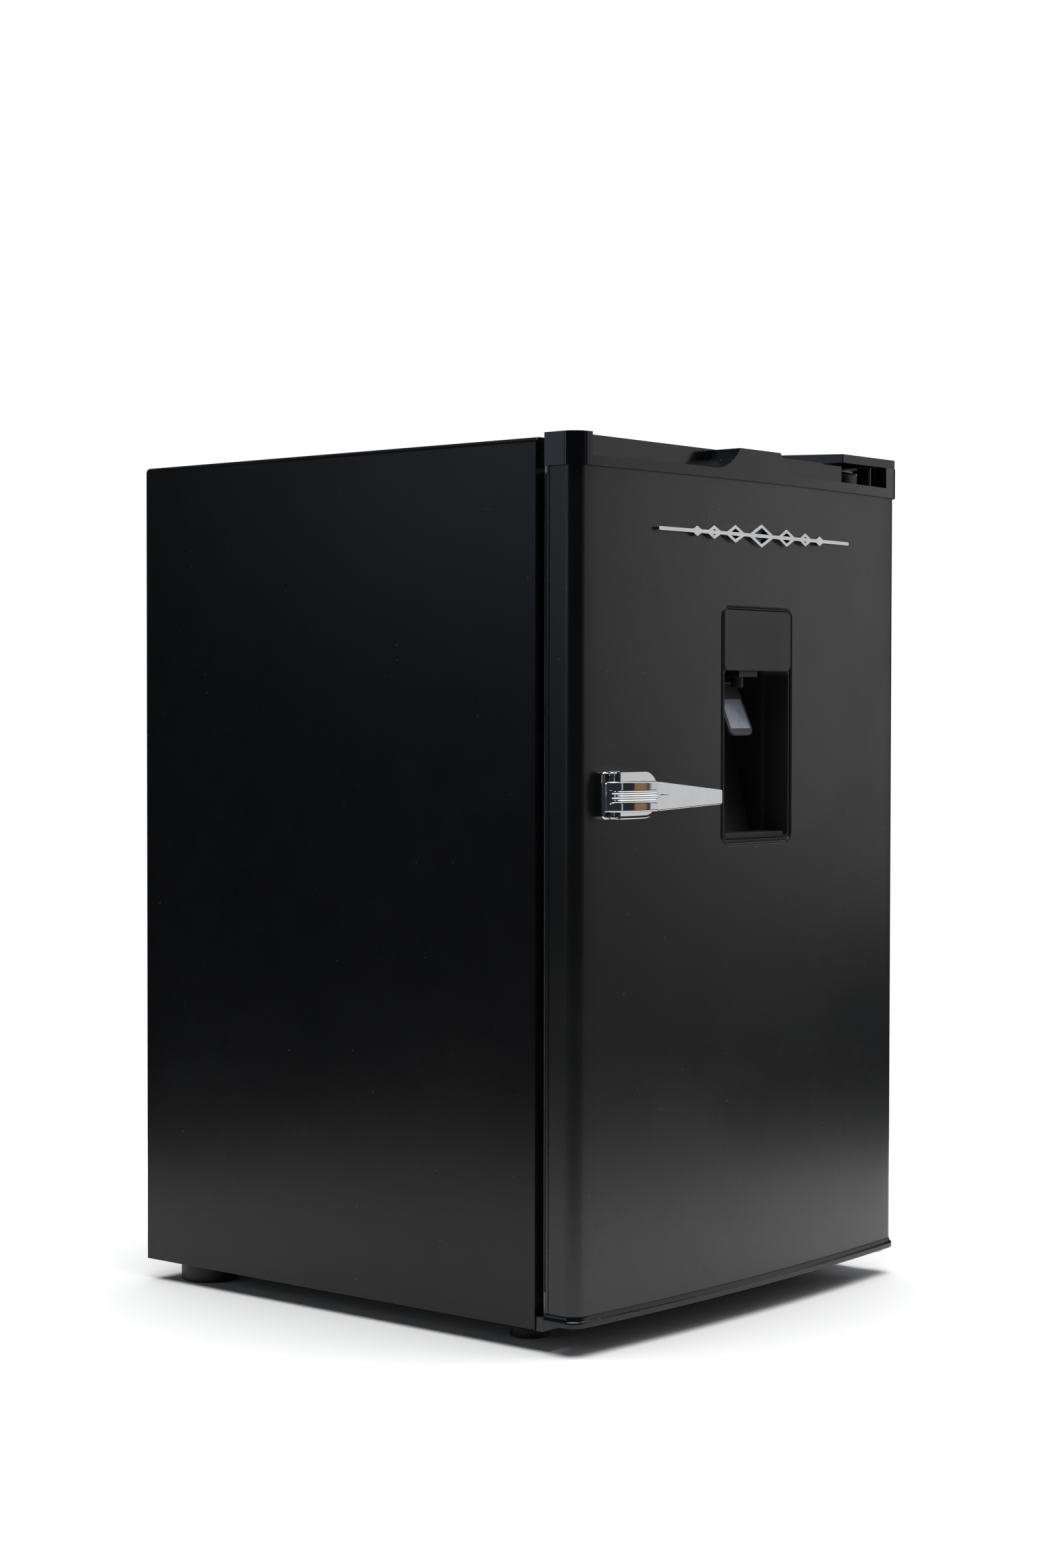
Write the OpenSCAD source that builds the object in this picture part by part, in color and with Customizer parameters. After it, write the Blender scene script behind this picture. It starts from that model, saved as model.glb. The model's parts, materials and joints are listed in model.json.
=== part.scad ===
// Compact refrigerator with a bowed door, a water dispenser and a lever handle.
// Millimetres. X across the front, Y from front to back, Z up from the floor.

/* [Cabinet] */
// Cabinet width
body_w = 475; // [420:1:520]
// Height of the side panels
body_h = 731.5; // [600:0.5:850]
// Depth of the side panels
body_d = 468.5; // [400:0.5:520]
// Height of the side panels' lower edge above the floor
foot_h = 18; // [12:1:30]
// Radius of the cabinet's two upper edges
top_r = 5; // [2:0.5:12]
// Thickness of the outer steel sheet
sheet_t = 1; // [0.6:0.1:1.5]
// Thickness of the inner plastic lining
liner_t = 1.5; // [1:0.1:3]
// Insulation thickness at the sides
side_foam = 38; // [28:1:50]
// Insulation thickness under the top
top_foam = 40; // [30:1:55]
// Insulation thickness over the floor
floor_foam = 40; // [30:1:55]
// Insulation thickness at the back
back_foam = 42; // [30:1:60]

/* [Compressor bay] */
// Height of the bay's ceiling above the floor
bay_top = 195; // [170:1:220]
// Distance from the cabinet front to the bay
bay_y = 308; // [280:1:330]
// Compressor radius
comp_r = 60; // [50:1:66]
// Compressor height without its feet
comp_h = 112; // [90:1:125]

/* [Door] */
// Clear gap between cabinet and door
door_gap = 11.1; // [8:0.1:16]
// Door thickness at its left and right edges
door_t = 31; // [24:0.5:45]
// How far the door's middle stands in front of its edges
door_bow = 11; // [4:0.5:20]
// Radius of the door's vertical front edges
door_r = 11.8; // [6:0.1:20]
// Lower face of the bottom trim
trim_z = 24; // [22:0.5:32]
// Height of the bottom trim
trim_h = 9.5; // [6:0.5:16]
// Lower face of the top cap
cap_z = 724.8; // [600:0.1:830]
// Height of the top cap
cap_h = 27.3; // [20:0.1:40]
// Height of the cap's front ledge
ledge_h = 8.4; // [5:0.1:14]
// How far cap and trim stand out from the door sheet
overhang = 2.7; // [1:0.1:5]
// Distance of the hinge line from the cabinet's middle
hinge_x = 222; // [200:0.5:228]
// Distance of the hinge line in front of the cabinet
hinge_y = -28; // [-32:0.5:-24]
// Hinge pin radius
pin_r = 4; // [3:0.5:5]

/* [Dispenser] */
// Frame width
disp_w = 106; // [90:1:130]
// Lower edge of the frame
disp_z = 410; // [380:1:440]
// Frame height
disp_h = 207; // [180:1:230]
// Frame corner radius
disp_r = 10; // [6:0.5:16]
// Width of the frame's border
disp_rim = 3.5; // [2:0.5:6]
// Lower edge of the cover panel
panel_z = 561.3; // [540:0.1:580]
// Depth of the recess's outer part
recess_d = 28; // [20:1:34]
// Depth of the recess near the paddle
recess_deep = 63; // [50:1:66]
// Depth of the recess at its floor
recess_low = 37; // [32:1:50]

/* [Handle and badge] */
// Left end of the handle base
grip_x = -214; // [-225:1:-200]
// Width of the handle base
grip_w = 62.4; // [52:0.1:70]
// Height of the handle base
grip_h = 39.5; // [37:0.5:52]
// Middle height of the handle
grip_z = 457.3; // [420:0.1:500]
// Front face of the handle base
grip_y = -61.5; // [-66:0.5:-58]
// Free end of the lever
lever_x = -68.6; // [-90:0.2:-60]
// Front of the lever
lever_y = -69.5; // [-74:0.5:-66]
// Lever height at its root
lever_h = 25.2; // [20:0.2:30]
// Lever height at its tip
tip_h = 12.7; // [8:0.1:18]
// Half length of the badge
badge_l = 141.5; // [100:0.5:160]
// Middle height of the badge
badge_z = 678; // [660:1:700]
// How far the badge stands out
badge_t = 4; // [1.5:0.5:5]

/* [Interior] */
// Half width of the freezer box
freezer_x = 165; // [140:1:175]
// Underside of the freezer box
freezer_z = 588; // [560:1:610]
// Freezer box height
freezer_h = 104; // [80:1:112]
// Front face of the freezer box
freezer_y = 165; // [150:1:190]
// Freezer box depth
freezer_d = 235; // [200:1:255]
// Height of the lower shelf
shelf_low = 330; // [270:1:360]
// Height of the upper shelf
shelf_high = 445; // [400:1:490]
// Front edge of the shelves
shelf_y = 106; // [95:1:140]
// Shelf depth
shelf_d = 300; // [240:1:315]

/* [Rear coil] */
// Distance of the coil's middle from the back panel
coil_gap = 15; // [10:1:30]
// Coil tube radius
coil_r = 2.4; // [2:0.1:3.5]
// Number of straight coil runs
coil_runs = 13; // [7:2:15]
// Half length of the straight coil runs
coil_x = 185; // [150:1:205]
// Number of cross wires on each side of the coil
wire_count = 19; // [9:2:31]

/* [Hidden] */

eps = 0.3;              // clearance between bodies that move apart
cut = 1;                // how far a cutting shape runs past a face
run_fit = 0.06;         // radial clearance of a turning pin
round_fn = 48;          // facets of large circles
small_fn = 24;          // facets of tubes and small circles
fine_fn = 32;           // facets of pins and bores
body_x = body_w / 2;
body_top = foot_h + body_h;

// Cabinet sections
pan_z = 23.4;           // underside of the base pan
pan_t = 1.5;            // sheet thickness of the base pan
step_top = 35;          // insulation above the bay
step_front = 36;        // insulation in front of the bay
foam_z = pan_z + pan_t;
in_x = body_x - sheet_t - side_foam - liner_t;
in_z = foam_z + floor_foam + liner_t;
in_top = body_top - sheet_t - top_foam - liner_t;
in_y = body_d - sheet_t - back_foam - liner_t;
step_z = bay_top + step_top + liner_t;
step_y = bay_y - step_front - liner_t;
flange_w = 12;          // width of the front flange

// Door outline: a wide bow with rounded front edges
bow_r = (body_x * body_x + door_bow * door_bow) / (2 * door_bow);
bow_cy = -door_gap - door_t - door_bow + bow_r;
edge_x = body_x - door_r;
edge_y = bow_cy - sqrt((bow_r - door_r) * (bow_r - door_r) - edge_x * edge_x);
bow_a = asin(edge_x / (bow_r - door_r));
bow_n = 48;             // segments along the bow
edge_n = 8;             // segments along each rounded edge
door_y = -door_gap - door_t - door_bow;
skin_z = trim_z + trim_h;
cap_top = cap_z + cap_h;

// Plan of the door, d mm inside its outer face and closed at y = rear
function outline(d, rear) = concat(
  [[body_x - d, rear]],
  [for (i = [0 : edge_n]) let (t = -(90 - bow_a) * i / edge_n)
    [edge_x + (door_r - d) * cos(t), edge_y + (door_r - d) * sin(t)]],
  [for (i = [1 : bow_n - 1]) let (s = bow_a - 2 * bow_a * i / bow_n)
    [(bow_r - d) * sin(s), bow_cy - (bow_r - d) * cos(s)]],
  [for (i = [edge_n : -1 : 0]) let (t = -(90 - bow_a) * i / edge_n)
    [-edge_x - (door_r - d) * cos(t), edge_y + (door_r - d) * sin(t)]],
  [[-body_x + d, rear]]);

wire_r = 0.8;           // radius of the coil's cross wires
wire_bite = 0.1;        // how deep a wire is welded into the coil

// Rear-to-front middle of the whole appliance, so the origin sits under its centre
rear_y = body_d + coil_gap + coil_r + 2 * wire_r - wire_bite;
mid_y = (rear_y + lever_y) / 2;

// Moves a shape from the cabinet front's frame to the appliance's own
module place() {
  translate([0, -mid_y, 0]) children();
}

// Block between two opposite corners
module box(lo, hi) {
  translate(lo) cube([hi[0] - lo[0], hi[1] - lo[1], hi[2] - lo[2]]);
}

// Round bars along each axis
module rod_z(x, y, z0, z1, r, fn = round_fn) {
  translate([x, y, z0]) cylinder(h = z1 - z0, r = r, $fn = fn);
}

module rod_y(x, z, y0, y1, r, fn = round_fn) {
  translate([x, y1, z]) rotate([90, 0, 0]) cylinder(h = y1 - y0, r = r, $fn = fn);
}

module rod_x(y, z, x0, x1, r, fn = round_fn) {
  translate([x0, y, z]) rotate([0, 90, 0]) cylinder(h = x1 - x0, r = r, $fn = fn);
}

// Flat shape with four rounded corners, centred on x and starting at z
module rounded(w, h, r) {
  translate([-w / 2 + r, 0]) square([w - 2 * r, h]);
  translate([-w / 2, r]) square([w, h - 2 * r]);
  for (x = [-w / 2 + r, w / 2 - r], y = [r, h - r])
    translate([x, y]) circle(r = r, $fn = round_fn);
}

// Turns a flat X-Z shape into a slab from y0 to y1
module slab(y0, y1) {
  translate([0, y1, 0]) rotate([90, 0, 0]) linear_extrude(height = y1 - y0) children();
}

// Turns a flat Y-Z shape into a bar from x0 to x1
module bar(x0, x1) {
  translate([x0, 0, 0]) rotate([90, 0, 90]) linear_extrude(height = x1 - x0) children();
}

// Straight tubes joined by balls along a list of points
module pipe(pts, r) {
  for (i = [0 : len(pts) - 2]) {
    d = pts[i + 1] - pts[i];
    l = norm(d);
    translate(pts[i]) rotate([0, atan2(norm([d[0], d[1]]), d[2]), atan2(d[1], d[0])])
      cylinder(h = l, r = r, $fn = small_fn);
    if (i > 0) translate(pts[i]) sphere(r = r * 1.03, $fn = small_fn);
  }
}

// Slice of the door's full outline
module door_block(d, rear, z0, z1) {
  translate([0, 0, z0]) linear_extrude(height = z1 - z0) polygon(outline(d, rear));
}

// ---- Cabinet ----

// Flat shape with two rounded upper corners
module arch(w, h, r) {
  translate([-w / 2, 0]) square([w, h - r]);
  translate([-w / 2 + r, 0]) square([w - 2 * r, h]);
  for (x = [-w / 2 + r, w / 2 - r]) translate([x, h - r]) circle(r = r, $fn = round_fn);
}

// Sheet steel hood: two sides and a top in one, with an inward front flange
module cabinet_shell() {
  lip = 10;
  color("#1b1b1d") place() translate([0, 0, foot_h]) {
    slab(sheet_t, body_d) difference() {
      arch(body_w, body_h, top_r);
      translate([0, -cut]) arch(body_w - 2 * sheet_t, body_h - sheet_t + cut, top_r - sheet_t);
    }
    slab(0, sheet_t) difference() {
      arch(body_w, body_h, top_r);
      translate([-body_x + flange_w, -cut])
        square([body_w - 2 * flange_w, body_h - flange_w + cut]);
      translate([plate_x0, -cut])
        square([body_x - sheet_t - plate_x0, low_z + low_t + eps - foot_h + cut]);
    }
    for (s = [-1, 1])
      box([s > 0 ? body_x - lip : -body_x + sheet_t, sheet_t, 0],
          [s > 0 ? body_x - sheet_t : -body_x + lip, body_d - lip, sheet_t]);
  }
}

// Side view of the inside, grown by d, with the step over the compressor bay
module liner_profile(d) {
  polygon([[0, in_z - d], [step_y + d, in_z - d], [step_y + d, step_z - d],
    [in_y + d, step_z - d], [in_y + d, in_top + d], [0, in_top + d]]);
}

nut_r = 9;              // nuts for the front feet
nut_h = 10;
foot_x = 190;           // front feet
foot_y = 45;
stem_r = 5;
stem_top = 40;
drain_x = 60;           // meltwater drain
drain_y = 395;
drain_r = 5;
drain_wall = 1.5;
comp_x = -70;           // middle of the compressor
comp_y = bay_y + 82;
pipe_a = 60;            // suction pipe: direction and distance from the compressor
pipe_off = 74;
pipe_top = bay_top + floor_foam / 2;
pipe_x = comp_x + pipe_off * cos(pipe_a);
pipe_y = comp_y + pipe_off * sin(pipe_a);
pipe_r = 3.2;

module cabinet_foam() {
  color("#e8d9a8") place() difference() {
    bar(-body_x + sheet_t, body_x - sheet_t) polygon([
      [liner_t, foam_z], [bay_y, foam_z], [bay_y, bay_top], [body_d - sheet_t, bay_top],
      [body_d - sheet_t, body_top - top_r], [liner_t, body_top - top_r]]);
    bar(-in_x - liner_t, in_x + liner_t) translate([-cut, 0]) {
      liner_profile(liner_t);
      translate([cut, 0]) liner_profile(liner_t);
    }
    for (s = [-1, 1]) rod_z(s * foot_x, foot_y, foam_z - cut, stem_top + cut, nut_r + eps);
    rod_z(drain_x, drain_y, bay_top - cut, step_z, drain_r);
    rod_z(pipe_x, pipe_y, bay_top - cut, pipe_top, pipe_r);
  }
  color("#e8d9a8") place()
    slab(liner_t, body_d - sheet_t) translate([0, body_top - top_r])
      difference() {
        translate([0, top_r - sheet_t - body_h]) arch(body_w - 2 * sheet_t, body_h, top_r - sheet_t);
        translate([-body_x, -body_h]) square([body_w, body_h]);
      }
}

rib_w = 9;              // shelf ribs
rib_h = 5;

// White lining with two pairs of shelf ribs
module cabinet_liner() {
  rib_y0 = 100;
  color("#f1f1ee") place() difference() {
    union() {
      bar(-in_x - liner_t, in_x + liner_t) liner_profile(liner_t);
      slab(0, liner_t) difference() {
        translate([-body_x + flange_w, foam_z])
          square([body_w - 2 * flange_w, body_top - flange_w - foam_z]);
        translate([-in_x, in_z]) square([2 * in_x, in_top - in_z]);
      }
    }
    difference() {
      bar(-in_x, in_x) translate([-cut, 0]) {
        liner_profile(0);
        translate([cut, 0]) liner_profile(0);
      }
      for (s = [-1, 1], z = [shelf_low, shelf_high])
        box([s > 0 ? in_x - rib_w : -in_x - cut, rib_y0, z - rib_h],
            [s > 0 ? in_x + cut : -in_x + rib_w, in_y + cut, z]);
    }
    rod_z(drain_x, drain_y, step_z - 2 * liner_t, step_z + cut, drain_r - drain_wall);
  }
}

module back_panel() {
  color("#3a3a3c") place() difference() {
    union() {
      slab(body_d - sheet_t, body_d) translate([0, bay_top - sheet_t])
        arch(body_w - 2 * sheet_t, body_top - bay_top, top_r - sheet_t);
      box([-body_x + sheet_t, bay_y, bay_top - sheet_t],
          [body_x - sheet_t, body_d - sheet_t, bay_top]);
      box([-body_x + sheet_t, bay_y, foam_z],
          [body_x - sheet_t, bay_y + sheet_t, bay_top - sheet_t]);
    }
    rod_z(drain_x, drain_y, bay_top - 2 * sheet_t, bay_top + cut, drain_r);
    rod_z(pipe_x, pipe_y, bay_top - 2 * sheet_t, bay_top + cut, pipe_r);
  }
}

gland_x = 185;          // cord inlet
gland_z = 58;
gland_r = 8;
gland_plate = 26;
mount_dx = 72;          // compressor mounts
mount_dy = 42;
grommet_h = 12;
grommet_r = 10;
mount_pin = 4;
mount_rise = 8;

module base_pan() {
  lip_h = 12;
  color("#4a4a4c") place() {
    difference() {
      box([-body_x + sheet_t, sheet_t, pan_z], [body_x - sheet_t, body_d - sheet_t, pan_z + pan_t]);
      for (s = [-1, 1]) rod_z(s * foot_x, foot_y, pan_z - cut, foam_z + cut, stem_r + run_fit);
    }
    for (s = [-1, 1]) {
      difference() {
        rod_z(s * foot_x, foot_y, foam_z, foam_z + nut_h, nut_r);
        rod_z(s * foot_x, foot_y, foam_z - cut, foam_z + nut_h + cut, stem_r + run_fit);
      }
      rod_z(comp_x + s * mount_dx, comp_y - mount_dy, foam_z, foam_z + grommet_h + mount_rise, mount_pin);
      rod_z(comp_x + s * mount_dx, comp_y + mount_dy, foam_z, foam_z + grommet_h + mount_rise, mount_pin);
    }
    difference() {
      union() {
        box([-body_x + 2 * sheet_t, body_d - sheet_t - pan_t, foam_z],
            [gland_x - gland_plate, body_d - sheet_t, foam_z + lip_h]);
        box([gland_x - gland_plate, body_d - sheet_t - pan_t, foam_z],
            [gland_x + gland_plate, body_d - sheet_t, gland_z + gland_plate]);
      }
      rod_y(gland_x, gland_z, body_d - lip_h, body_d + cut, gland_r);
    }
  }
}

rail_z = 17;            // front rail
rail_y = -8;
plate_x0 = 196;         // left end of the bottom hinge plate

module front_rail() {
  rail_h = 12;
  wall = 2;
  x0 = -body_x + 1.5;
  x1 = plate_x0 - 3;
  color("#8f9094") place() difference() {
    box([x0, rail_y, rail_z], [x1, -eps / 3, rail_z + rail_h]);
    box([x0 + wall, rail_y + wall, rail_z - cut], [x1 - wall, cut, rail_z + rail_h - wall]);
  }
}

module rear_feet() {
  r = 26;
  x = 200;
  y = body_d - 44;
  neck_h = 6;
  neck_r = 21;
  color("#151515") place() for (s = [-1, 1]) {
    rod_z(s * x, y, 0, pan_z - neck_h, r);
    rod_z(s * x, y, pan_z - neck_h, pan_z, neck_r);
  }
}

// ---- Refrigeration ----

comp_z = foam_z + grommet_h;
comp_foot = 3;
comp_top = comp_z + comp_foot + comp_h;

// Welded steel dome on a foot plate
module compressor() {
  edge = 18;
  weld = 3;
  foot_dx = mount_dx + 14;
  foot_dy = mount_dy + 12;
  color("#141416") place() {
    translate([comp_x, comp_y, comp_z + comp_foot]) rotate_extrude($fn = 64) union() {
      square([comp_r - edge, comp_h]);
      translate([0, edge]) square([comp_r, comp_h - 2 * edge]);
      translate([0, comp_h / 2 - weld]) square([comp_r + weld, 2 * weld]);
      for (z = [edge, comp_h - edge]) translate([comp_r - edge, z]) circle(r = edge, $fn = 40);
    }
    difference() {
      box([comp_x - foot_dx, comp_y - foot_dy, comp_z],
          [comp_x + foot_dx, comp_y + foot_dy, comp_z + comp_foot]);
      for (sx = [-1, 1], sy = [-1, 1])
        rod_z(comp_x + sx * mount_dx, comp_y + sy * mount_dy, comp_z - cut,
              comp_z + comp_foot + cut, mount_pin + 1);
    }
  }
}

module compressor_grommets() {
  color("#202020") place() for (sx = [-1, 1], sy = [-1, 1]) difference() {
    rod_z(comp_x + sx * mount_dx, comp_y + sy * mount_dy, foam_z, comp_z, grommet_r);
    rod_z(comp_x + sx * mount_dx, comp_y + sy * mount_dy, foam_z - cut, comp_z + cut, mount_pin);
  }
}

module terminal_cover() {
  w = 34;
  h = 48;
  half = 22;
  wall = 2;
  seam = 3;
  x0 = comp_x + comp_r - 9;
  z0 = comp_z + 48;
  color("#2a2a2a") place() difference() {
    box([x0, comp_y - half, z0], [x0 + w, comp_y + half, z0 + h]);
    rod_z(comp_x, comp_y, z0 - cut, z0 + h + cut, comp_r + seam, 64);
    box([x0 - cut, comp_y - half + wall, z0 + wall],
        [x0 + w - wall, comp_y + half - wall, z0 + h - wall]);
  }
}

tube_r = 3;             // suction tube and the drier's necks
drier_x = 130;          // filter drier
drier_y = bay_y + 118;
drier_z = 78;

// From the compressor to the coil's first run
module discharge_tube() {
  y = body_d + coil_gap;
  z = comp_z + 40;
  out_x = comp_x - comp_r - 22;
  rise_x = -coil_x - 20;
  color("#b06a3a") place() pipe([[comp_x - comp_r, comp_y, z], [out_x, comp_y, z], [out_x, y, z],
    [rise_x, y, z], [rise_x, y, coil_z0], [-coil_x, y, coil_z0]], coil_r);
}

// From the compressor up into the insulation
module suction_tube() {
  z = comp_z + 80;
  color("#b87040") place() pipe([
    [comp_x + comp_r * cos(pipe_a), comp_y + comp_r * sin(pipe_a), z],
    [pipe_x, pipe_y, z], [pipe_x, pipe_y, pipe_top]], tube_r);
}

module filter_drier() {
  drier_r = 9;
  drier_h = 70;
  neck = 10;
  color("#b5763f") place() translate([drier_x, drier_y, drier_z]) rotate_extrude($fn = 40)
    polygon([[0, 0], [tube_r, 0], [drier_r, neck], [drier_r, neck + drier_h],
      [tube_r, 2 * neck + drier_h], [0, 2 * neck + drier_h]]);
}

// Loops under the drier, then up to the suction pipe
module capillary_tube() {
  r = 1.2;
  loop = 22;
  pitch = 2.3;
  loops = 4;
  loop_z = drier_z - 16;
  color("#b87040") place() {
    for (i = [0 : loops - 1]) translate([drier_x, drier_y, loop_z - i * pitch])
      rotate_extrude($fn = round_fn) translate([loop, 0]) circle(r = r, $fn = small_fn);
    pipe([[drier_x, drier_y, drier_z], [drier_x, drier_y, loop_z + 6],
      [drier_x + loop, drier_y, loop_z]], r);
    pipe([[drier_x - loop, drier_y, loop_z], [pipe_x + 30, pipe_y, drier_z + 60],
      [pipe_x + pipe_r + 1.5, pipe_y, bay_top - 8]], r);
  }
}

coil_z0 = 240;          // first and last run of the coil
coil_z1 = 700;
coil_pitch = (coil_z1 - coil_z0) / (coil_runs - 1);

module condenser_tube() {
  y = body_d + coil_gap;
  down_x = coil_x + 24;
  in_y = body_d - 14;
  low = 182;
  neck_z = drier_z + 90;
  runs = [for (i = [0 : coil_runs - 1], k = [-1, 1])
    [(i % 2 == 0 ? k : -k) * coil_x, y, coil_z0 + i * coil_pitch]];
  last = 2 * coil_runs - 1;
  color("#1d1d1d") place() pipe(concat([for (i = [0 : last - 1]) runs[i]],
    [[down_x, y, coil_z1], [down_x, y, low], [down_x, in_y, low], [drier_x, in_y, low],
    [drier_x, drier_y, low], [drier_x, drier_y, neck_z]]), coil_r);
}

module condenser_wires() {
  y = body_d + coil_gap;
  reach = 18;
  first = 15 - coil_x;
  step = -2 * first / (wire_count - 1);
  color("#242424") place() for (i = [0 : wire_count - 1], s = [-1, 1])
    rod_z(first + i * step, y + s * (coil_r + wire_r - wire_bite), coil_z0 - reach,
          coil_z1 + reach, wire_r, 14);
}

module condenser_brackets() {
  w = 14;
  h = 20;
  x = 145;
  depth = coil_gap - coil_r - 2 * (wire_r + wire_bite);
  color("#c9c9c9") place() for (s = [-1, 1], i = [1, coil_runs - 2]) {
    z = coil_z0 + i * coil_pitch;
    box([s * x - w / 2, body_d, z - h / 2], [s * x + w / 2, body_d + depth, z + h / 2]);
  }
}

// Open evaporating pan on top of the compressor
module drip_pan() {
  wall = 2;
  x0 = comp_x - 75;
  x1 = comp_x + 145;
  half = 52;
  h = 24;
  color("#26262a") place() difference() {
    box([x0, comp_y - half, comp_top], [x1, comp_y + half, comp_top + h]);
    box([x0 + wall, comp_y - half + wall, comp_top + wall],
        [x1 - wall, comp_y + half - wall, comp_top + h + cut]);
  }
}

module drain_tube() {
  color("#d8d8d8") place() difference() {
    rod_z(drain_x, drain_y, comp_top + 16, step_z - liner_t, drain_r, fine_fn);
    rod_z(drain_x, drain_y, comp_top, step_z + cut, drain_r - drain_wall, fine_fn);
  }
}

module cord_gland() {
  bore = 3.6;
  lip = 3;
  nose = 12;
  in_y = body_d - sheet_t - pan_t - lip;
  color("#101010") place() difference() {
    union() {
      rod_y(gland_x, gland_z, in_y, body_d + nose, gland_r);
      rod_y(gland_x, gland_z, body_d - sheet_t, body_d + lip, gland_r + lip);
      rod_y(gland_x, gland_z, in_y, in_y + lip, gland_r + lip);
    }
    rod_y(gland_x, gland_z, in_y - cut, body_d + nose + cut, bore);
  }
}

// ---- Freezer and interior ----

freezer_r = 8;          // corner radius of the freezer box

// Sleeve with a closed back
module freezer_box() {
  t = 2;
  color("#b9bcc0") place() {
    slab(freezer_y, freezer_y + freezer_d) difference() {
      translate([0, freezer_z]) rounded(2 * freezer_x, freezer_h, freezer_r);
      translate([0, freezer_z + t]) rounded(2 * (freezer_x - t), freezer_h - 2 * t, freezer_r - t);
    }
    slab(freezer_y + freezer_d - t, freezer_y + freezer_d)
      translate([0, freezer_z + t]) rounded(2 * (freezer_x - t), freezer_h - 2 * t, freezer_r - t);
  }
}

// Four posts up to the lining's ceiling and two rails under the box for the tray
module freezer_supports() {
  post = 8;
  wall = 3;
  color("#d9dcdf") place() {
    for (sx = [-1, 1], y = [freezer_y + 30, freezer_y + freezer_d - 40])
      rod_z(sx * (freezer_x - 30), y, freezer_z + freezer_h, in_top, post, fine_fn);
    for (s = [-1, 1])
      difference() {
        box([s > 0 ? tray_x + eps : -freezer_x + 1, freezer_y + 4, tray_z - 1],
            [s > 0 ? freezer_x - 1 : -tray_x - eps, freezer_y + freezer_d - 5, freezer_z]);
        box([s > 0 ? tray_x - cut : -freezer_x + 1 + wall, freezer_y, tray_z + tray_h - 6],
            [s > 0 ? freezer_x - 1 - wall : -tray_x + cut, freezer_y + freezer_d, freezer_z - cut]);
      }
  }
}

flap_t = 4;             // freezer flap and its pivots
flap_gap = 1;
pivot_r = 2.5;
pivot_z = freezer_z + 6;
pivot_y = freezer_y - 4.5;
ear_x = freezer_x + 1;

module freezer_frame() {
  ear = 4;
  rim = 3;
  color("#e4e6e8") place() difference() {
    union() {
      slab(freezer_y - 1.5, freezer_y) difference() {
        translate([0, freezer_z]) rounded(2 * freezer_x, freezer_h, freezer_r);
        translate([0, freezer_z + rim]) rounded(2 * (freezer_x - rim), freezer_h - 2 * rim, freezer_r - 2);
      }
      for (s = [-1, 1])
        box([s > 0 ? ear_x : -ear_x - ear, pivot_y - 5, freezer_z],
            [s > 0 ? ear_x + ear : -ear_x, freezer_y + 12, freezer_z + 12]);
      for (s = [-1, 1])
        box([s > 0 ? freezer_x : -ear_x, freezer_y, freezer_z + 9],
            [s > 0 ? ear_x : -freezer_x, freezer_y + 12, freezer_z + 12]);
    }
    rod_x(pivot_y, pivot_z, -ear_x - 2 * ear, ear_x + 2 * ear, pivot_r + run_fit);
  }
}

module freezer_flap() {
  pull_w = 60;
  top = freezer_z + freezer_h - 1;
  color("#dfe9ee") place() {
    box([-freezer_x + flap_gap, pivot_y - flap_t / 2, pivot_z - flap_t / 2],
        [freezer_x - flap_gap, pivot_y + flap_t / 2, top]);
    rod_x(pivot_y, pivot_z, -ear_x - 3.5, ear_x + 3.5, pivot_r);
    box([-pull_w / 2, pivot_y - flap_t / 2 - 6, top - 12],
        [pull_w / 2, pivot_y - flap_t / 2, top - 8]);
  }
}

tray_x = 150;           // chill tray under the freezer box
tray_z = freezer_z - 32;
tray_h = 24;

module chill_tray() {
  wall = 2;
  lug = 6;
  lug_t = 3;
  y0 = freezer_y + 2;
  y1 = freezer_y + freezer_d - 8;
  color("#e9eef0") place() {
    difference() {
      box([-tray_x, y0, tray_z], [tray_x, y1, tray_z + tray_h]);
      box([-tray_x + wall, y0 + wall, tray_z + wall], [tray_x - wall, y1 - wall, tray_z + tray_h + cut]);
    }
    for (s = [-1, 1])
      box([s > 0 ? tray_x : -tray_x - lug, y0 + 2 * wall, tray_z + tray_h - lug_t],
          [s > 0 ? tray_x + lug : -tray_x, y1 - 2 * wall, tray_z + tray_h]);
  }
}

stat_x = 184;           // thermostat
stat_z = 660;
stat_y = 185;
stat_d = 74;
knob_r = 9.5;
shaft_r = 3;

module thermostat_housing() {
  color("#eceeef") place() difference() {
    box([freezer_x + 6, stat_y, stat_z - 28], [in_x, stat_y + stat_d, stat_z + 28]);
    rod_y(stat_x, stat_z, stat_y - cut, stat_y + 12, shaft_r + run_fit, fine_fn);
  }
}

module thermostat_knob() {
  color("#f4f4f4") place() {
    difference() {
      rod_y(stat_x, stat_z, stat_y - 13, stat_y - eps, knob_r);
      box([stat_x - 0.8, stat_y - 14, stat_z + 3], [stat_x + 0.8, stat_y - 12, stat_z + 12]);
    }
    rod_y(stat_x, stat_z, stat_y - cut, stat_y + 11, shaft_r, fine_fn);
  }
}

module sensor_tube() {
  r = 1.2;
  color("#b87040") place() pipe([
    [stat_x, stat_y + stat_d, stat_z], [stat_x, stat_y + 110, stat_z],
    [freezer_x + 2 * r, stat_y + 122, stat_z], [freezer_x + 2 * r, stat_y + 180, stat_z]], r);
}

glass_t = 4;
shelf_x = in_x - 2.5;

// Glass shelf with a raised front edge
module shelf(z) {
  trim_d = 10;
  trim_t = 3;
  color("#dfe8ea") place() {
    box([-shelf_x, shelf_y + trim_d, z + eps], [shelf_x, shelf_y + shelf_d, z + eps + glass_t]);
    box([-shelf_x, shelf_y, z + eps], [shelf_x, shelf_y + trim_d, z + eps + glass_t + trim_t]);
  }
}

module shelf_lower() {
  shelf(shelf_low);
}

module shelf_upper() {
  shelf(shelf_high);
}

// ---- Hinges ----

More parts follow.
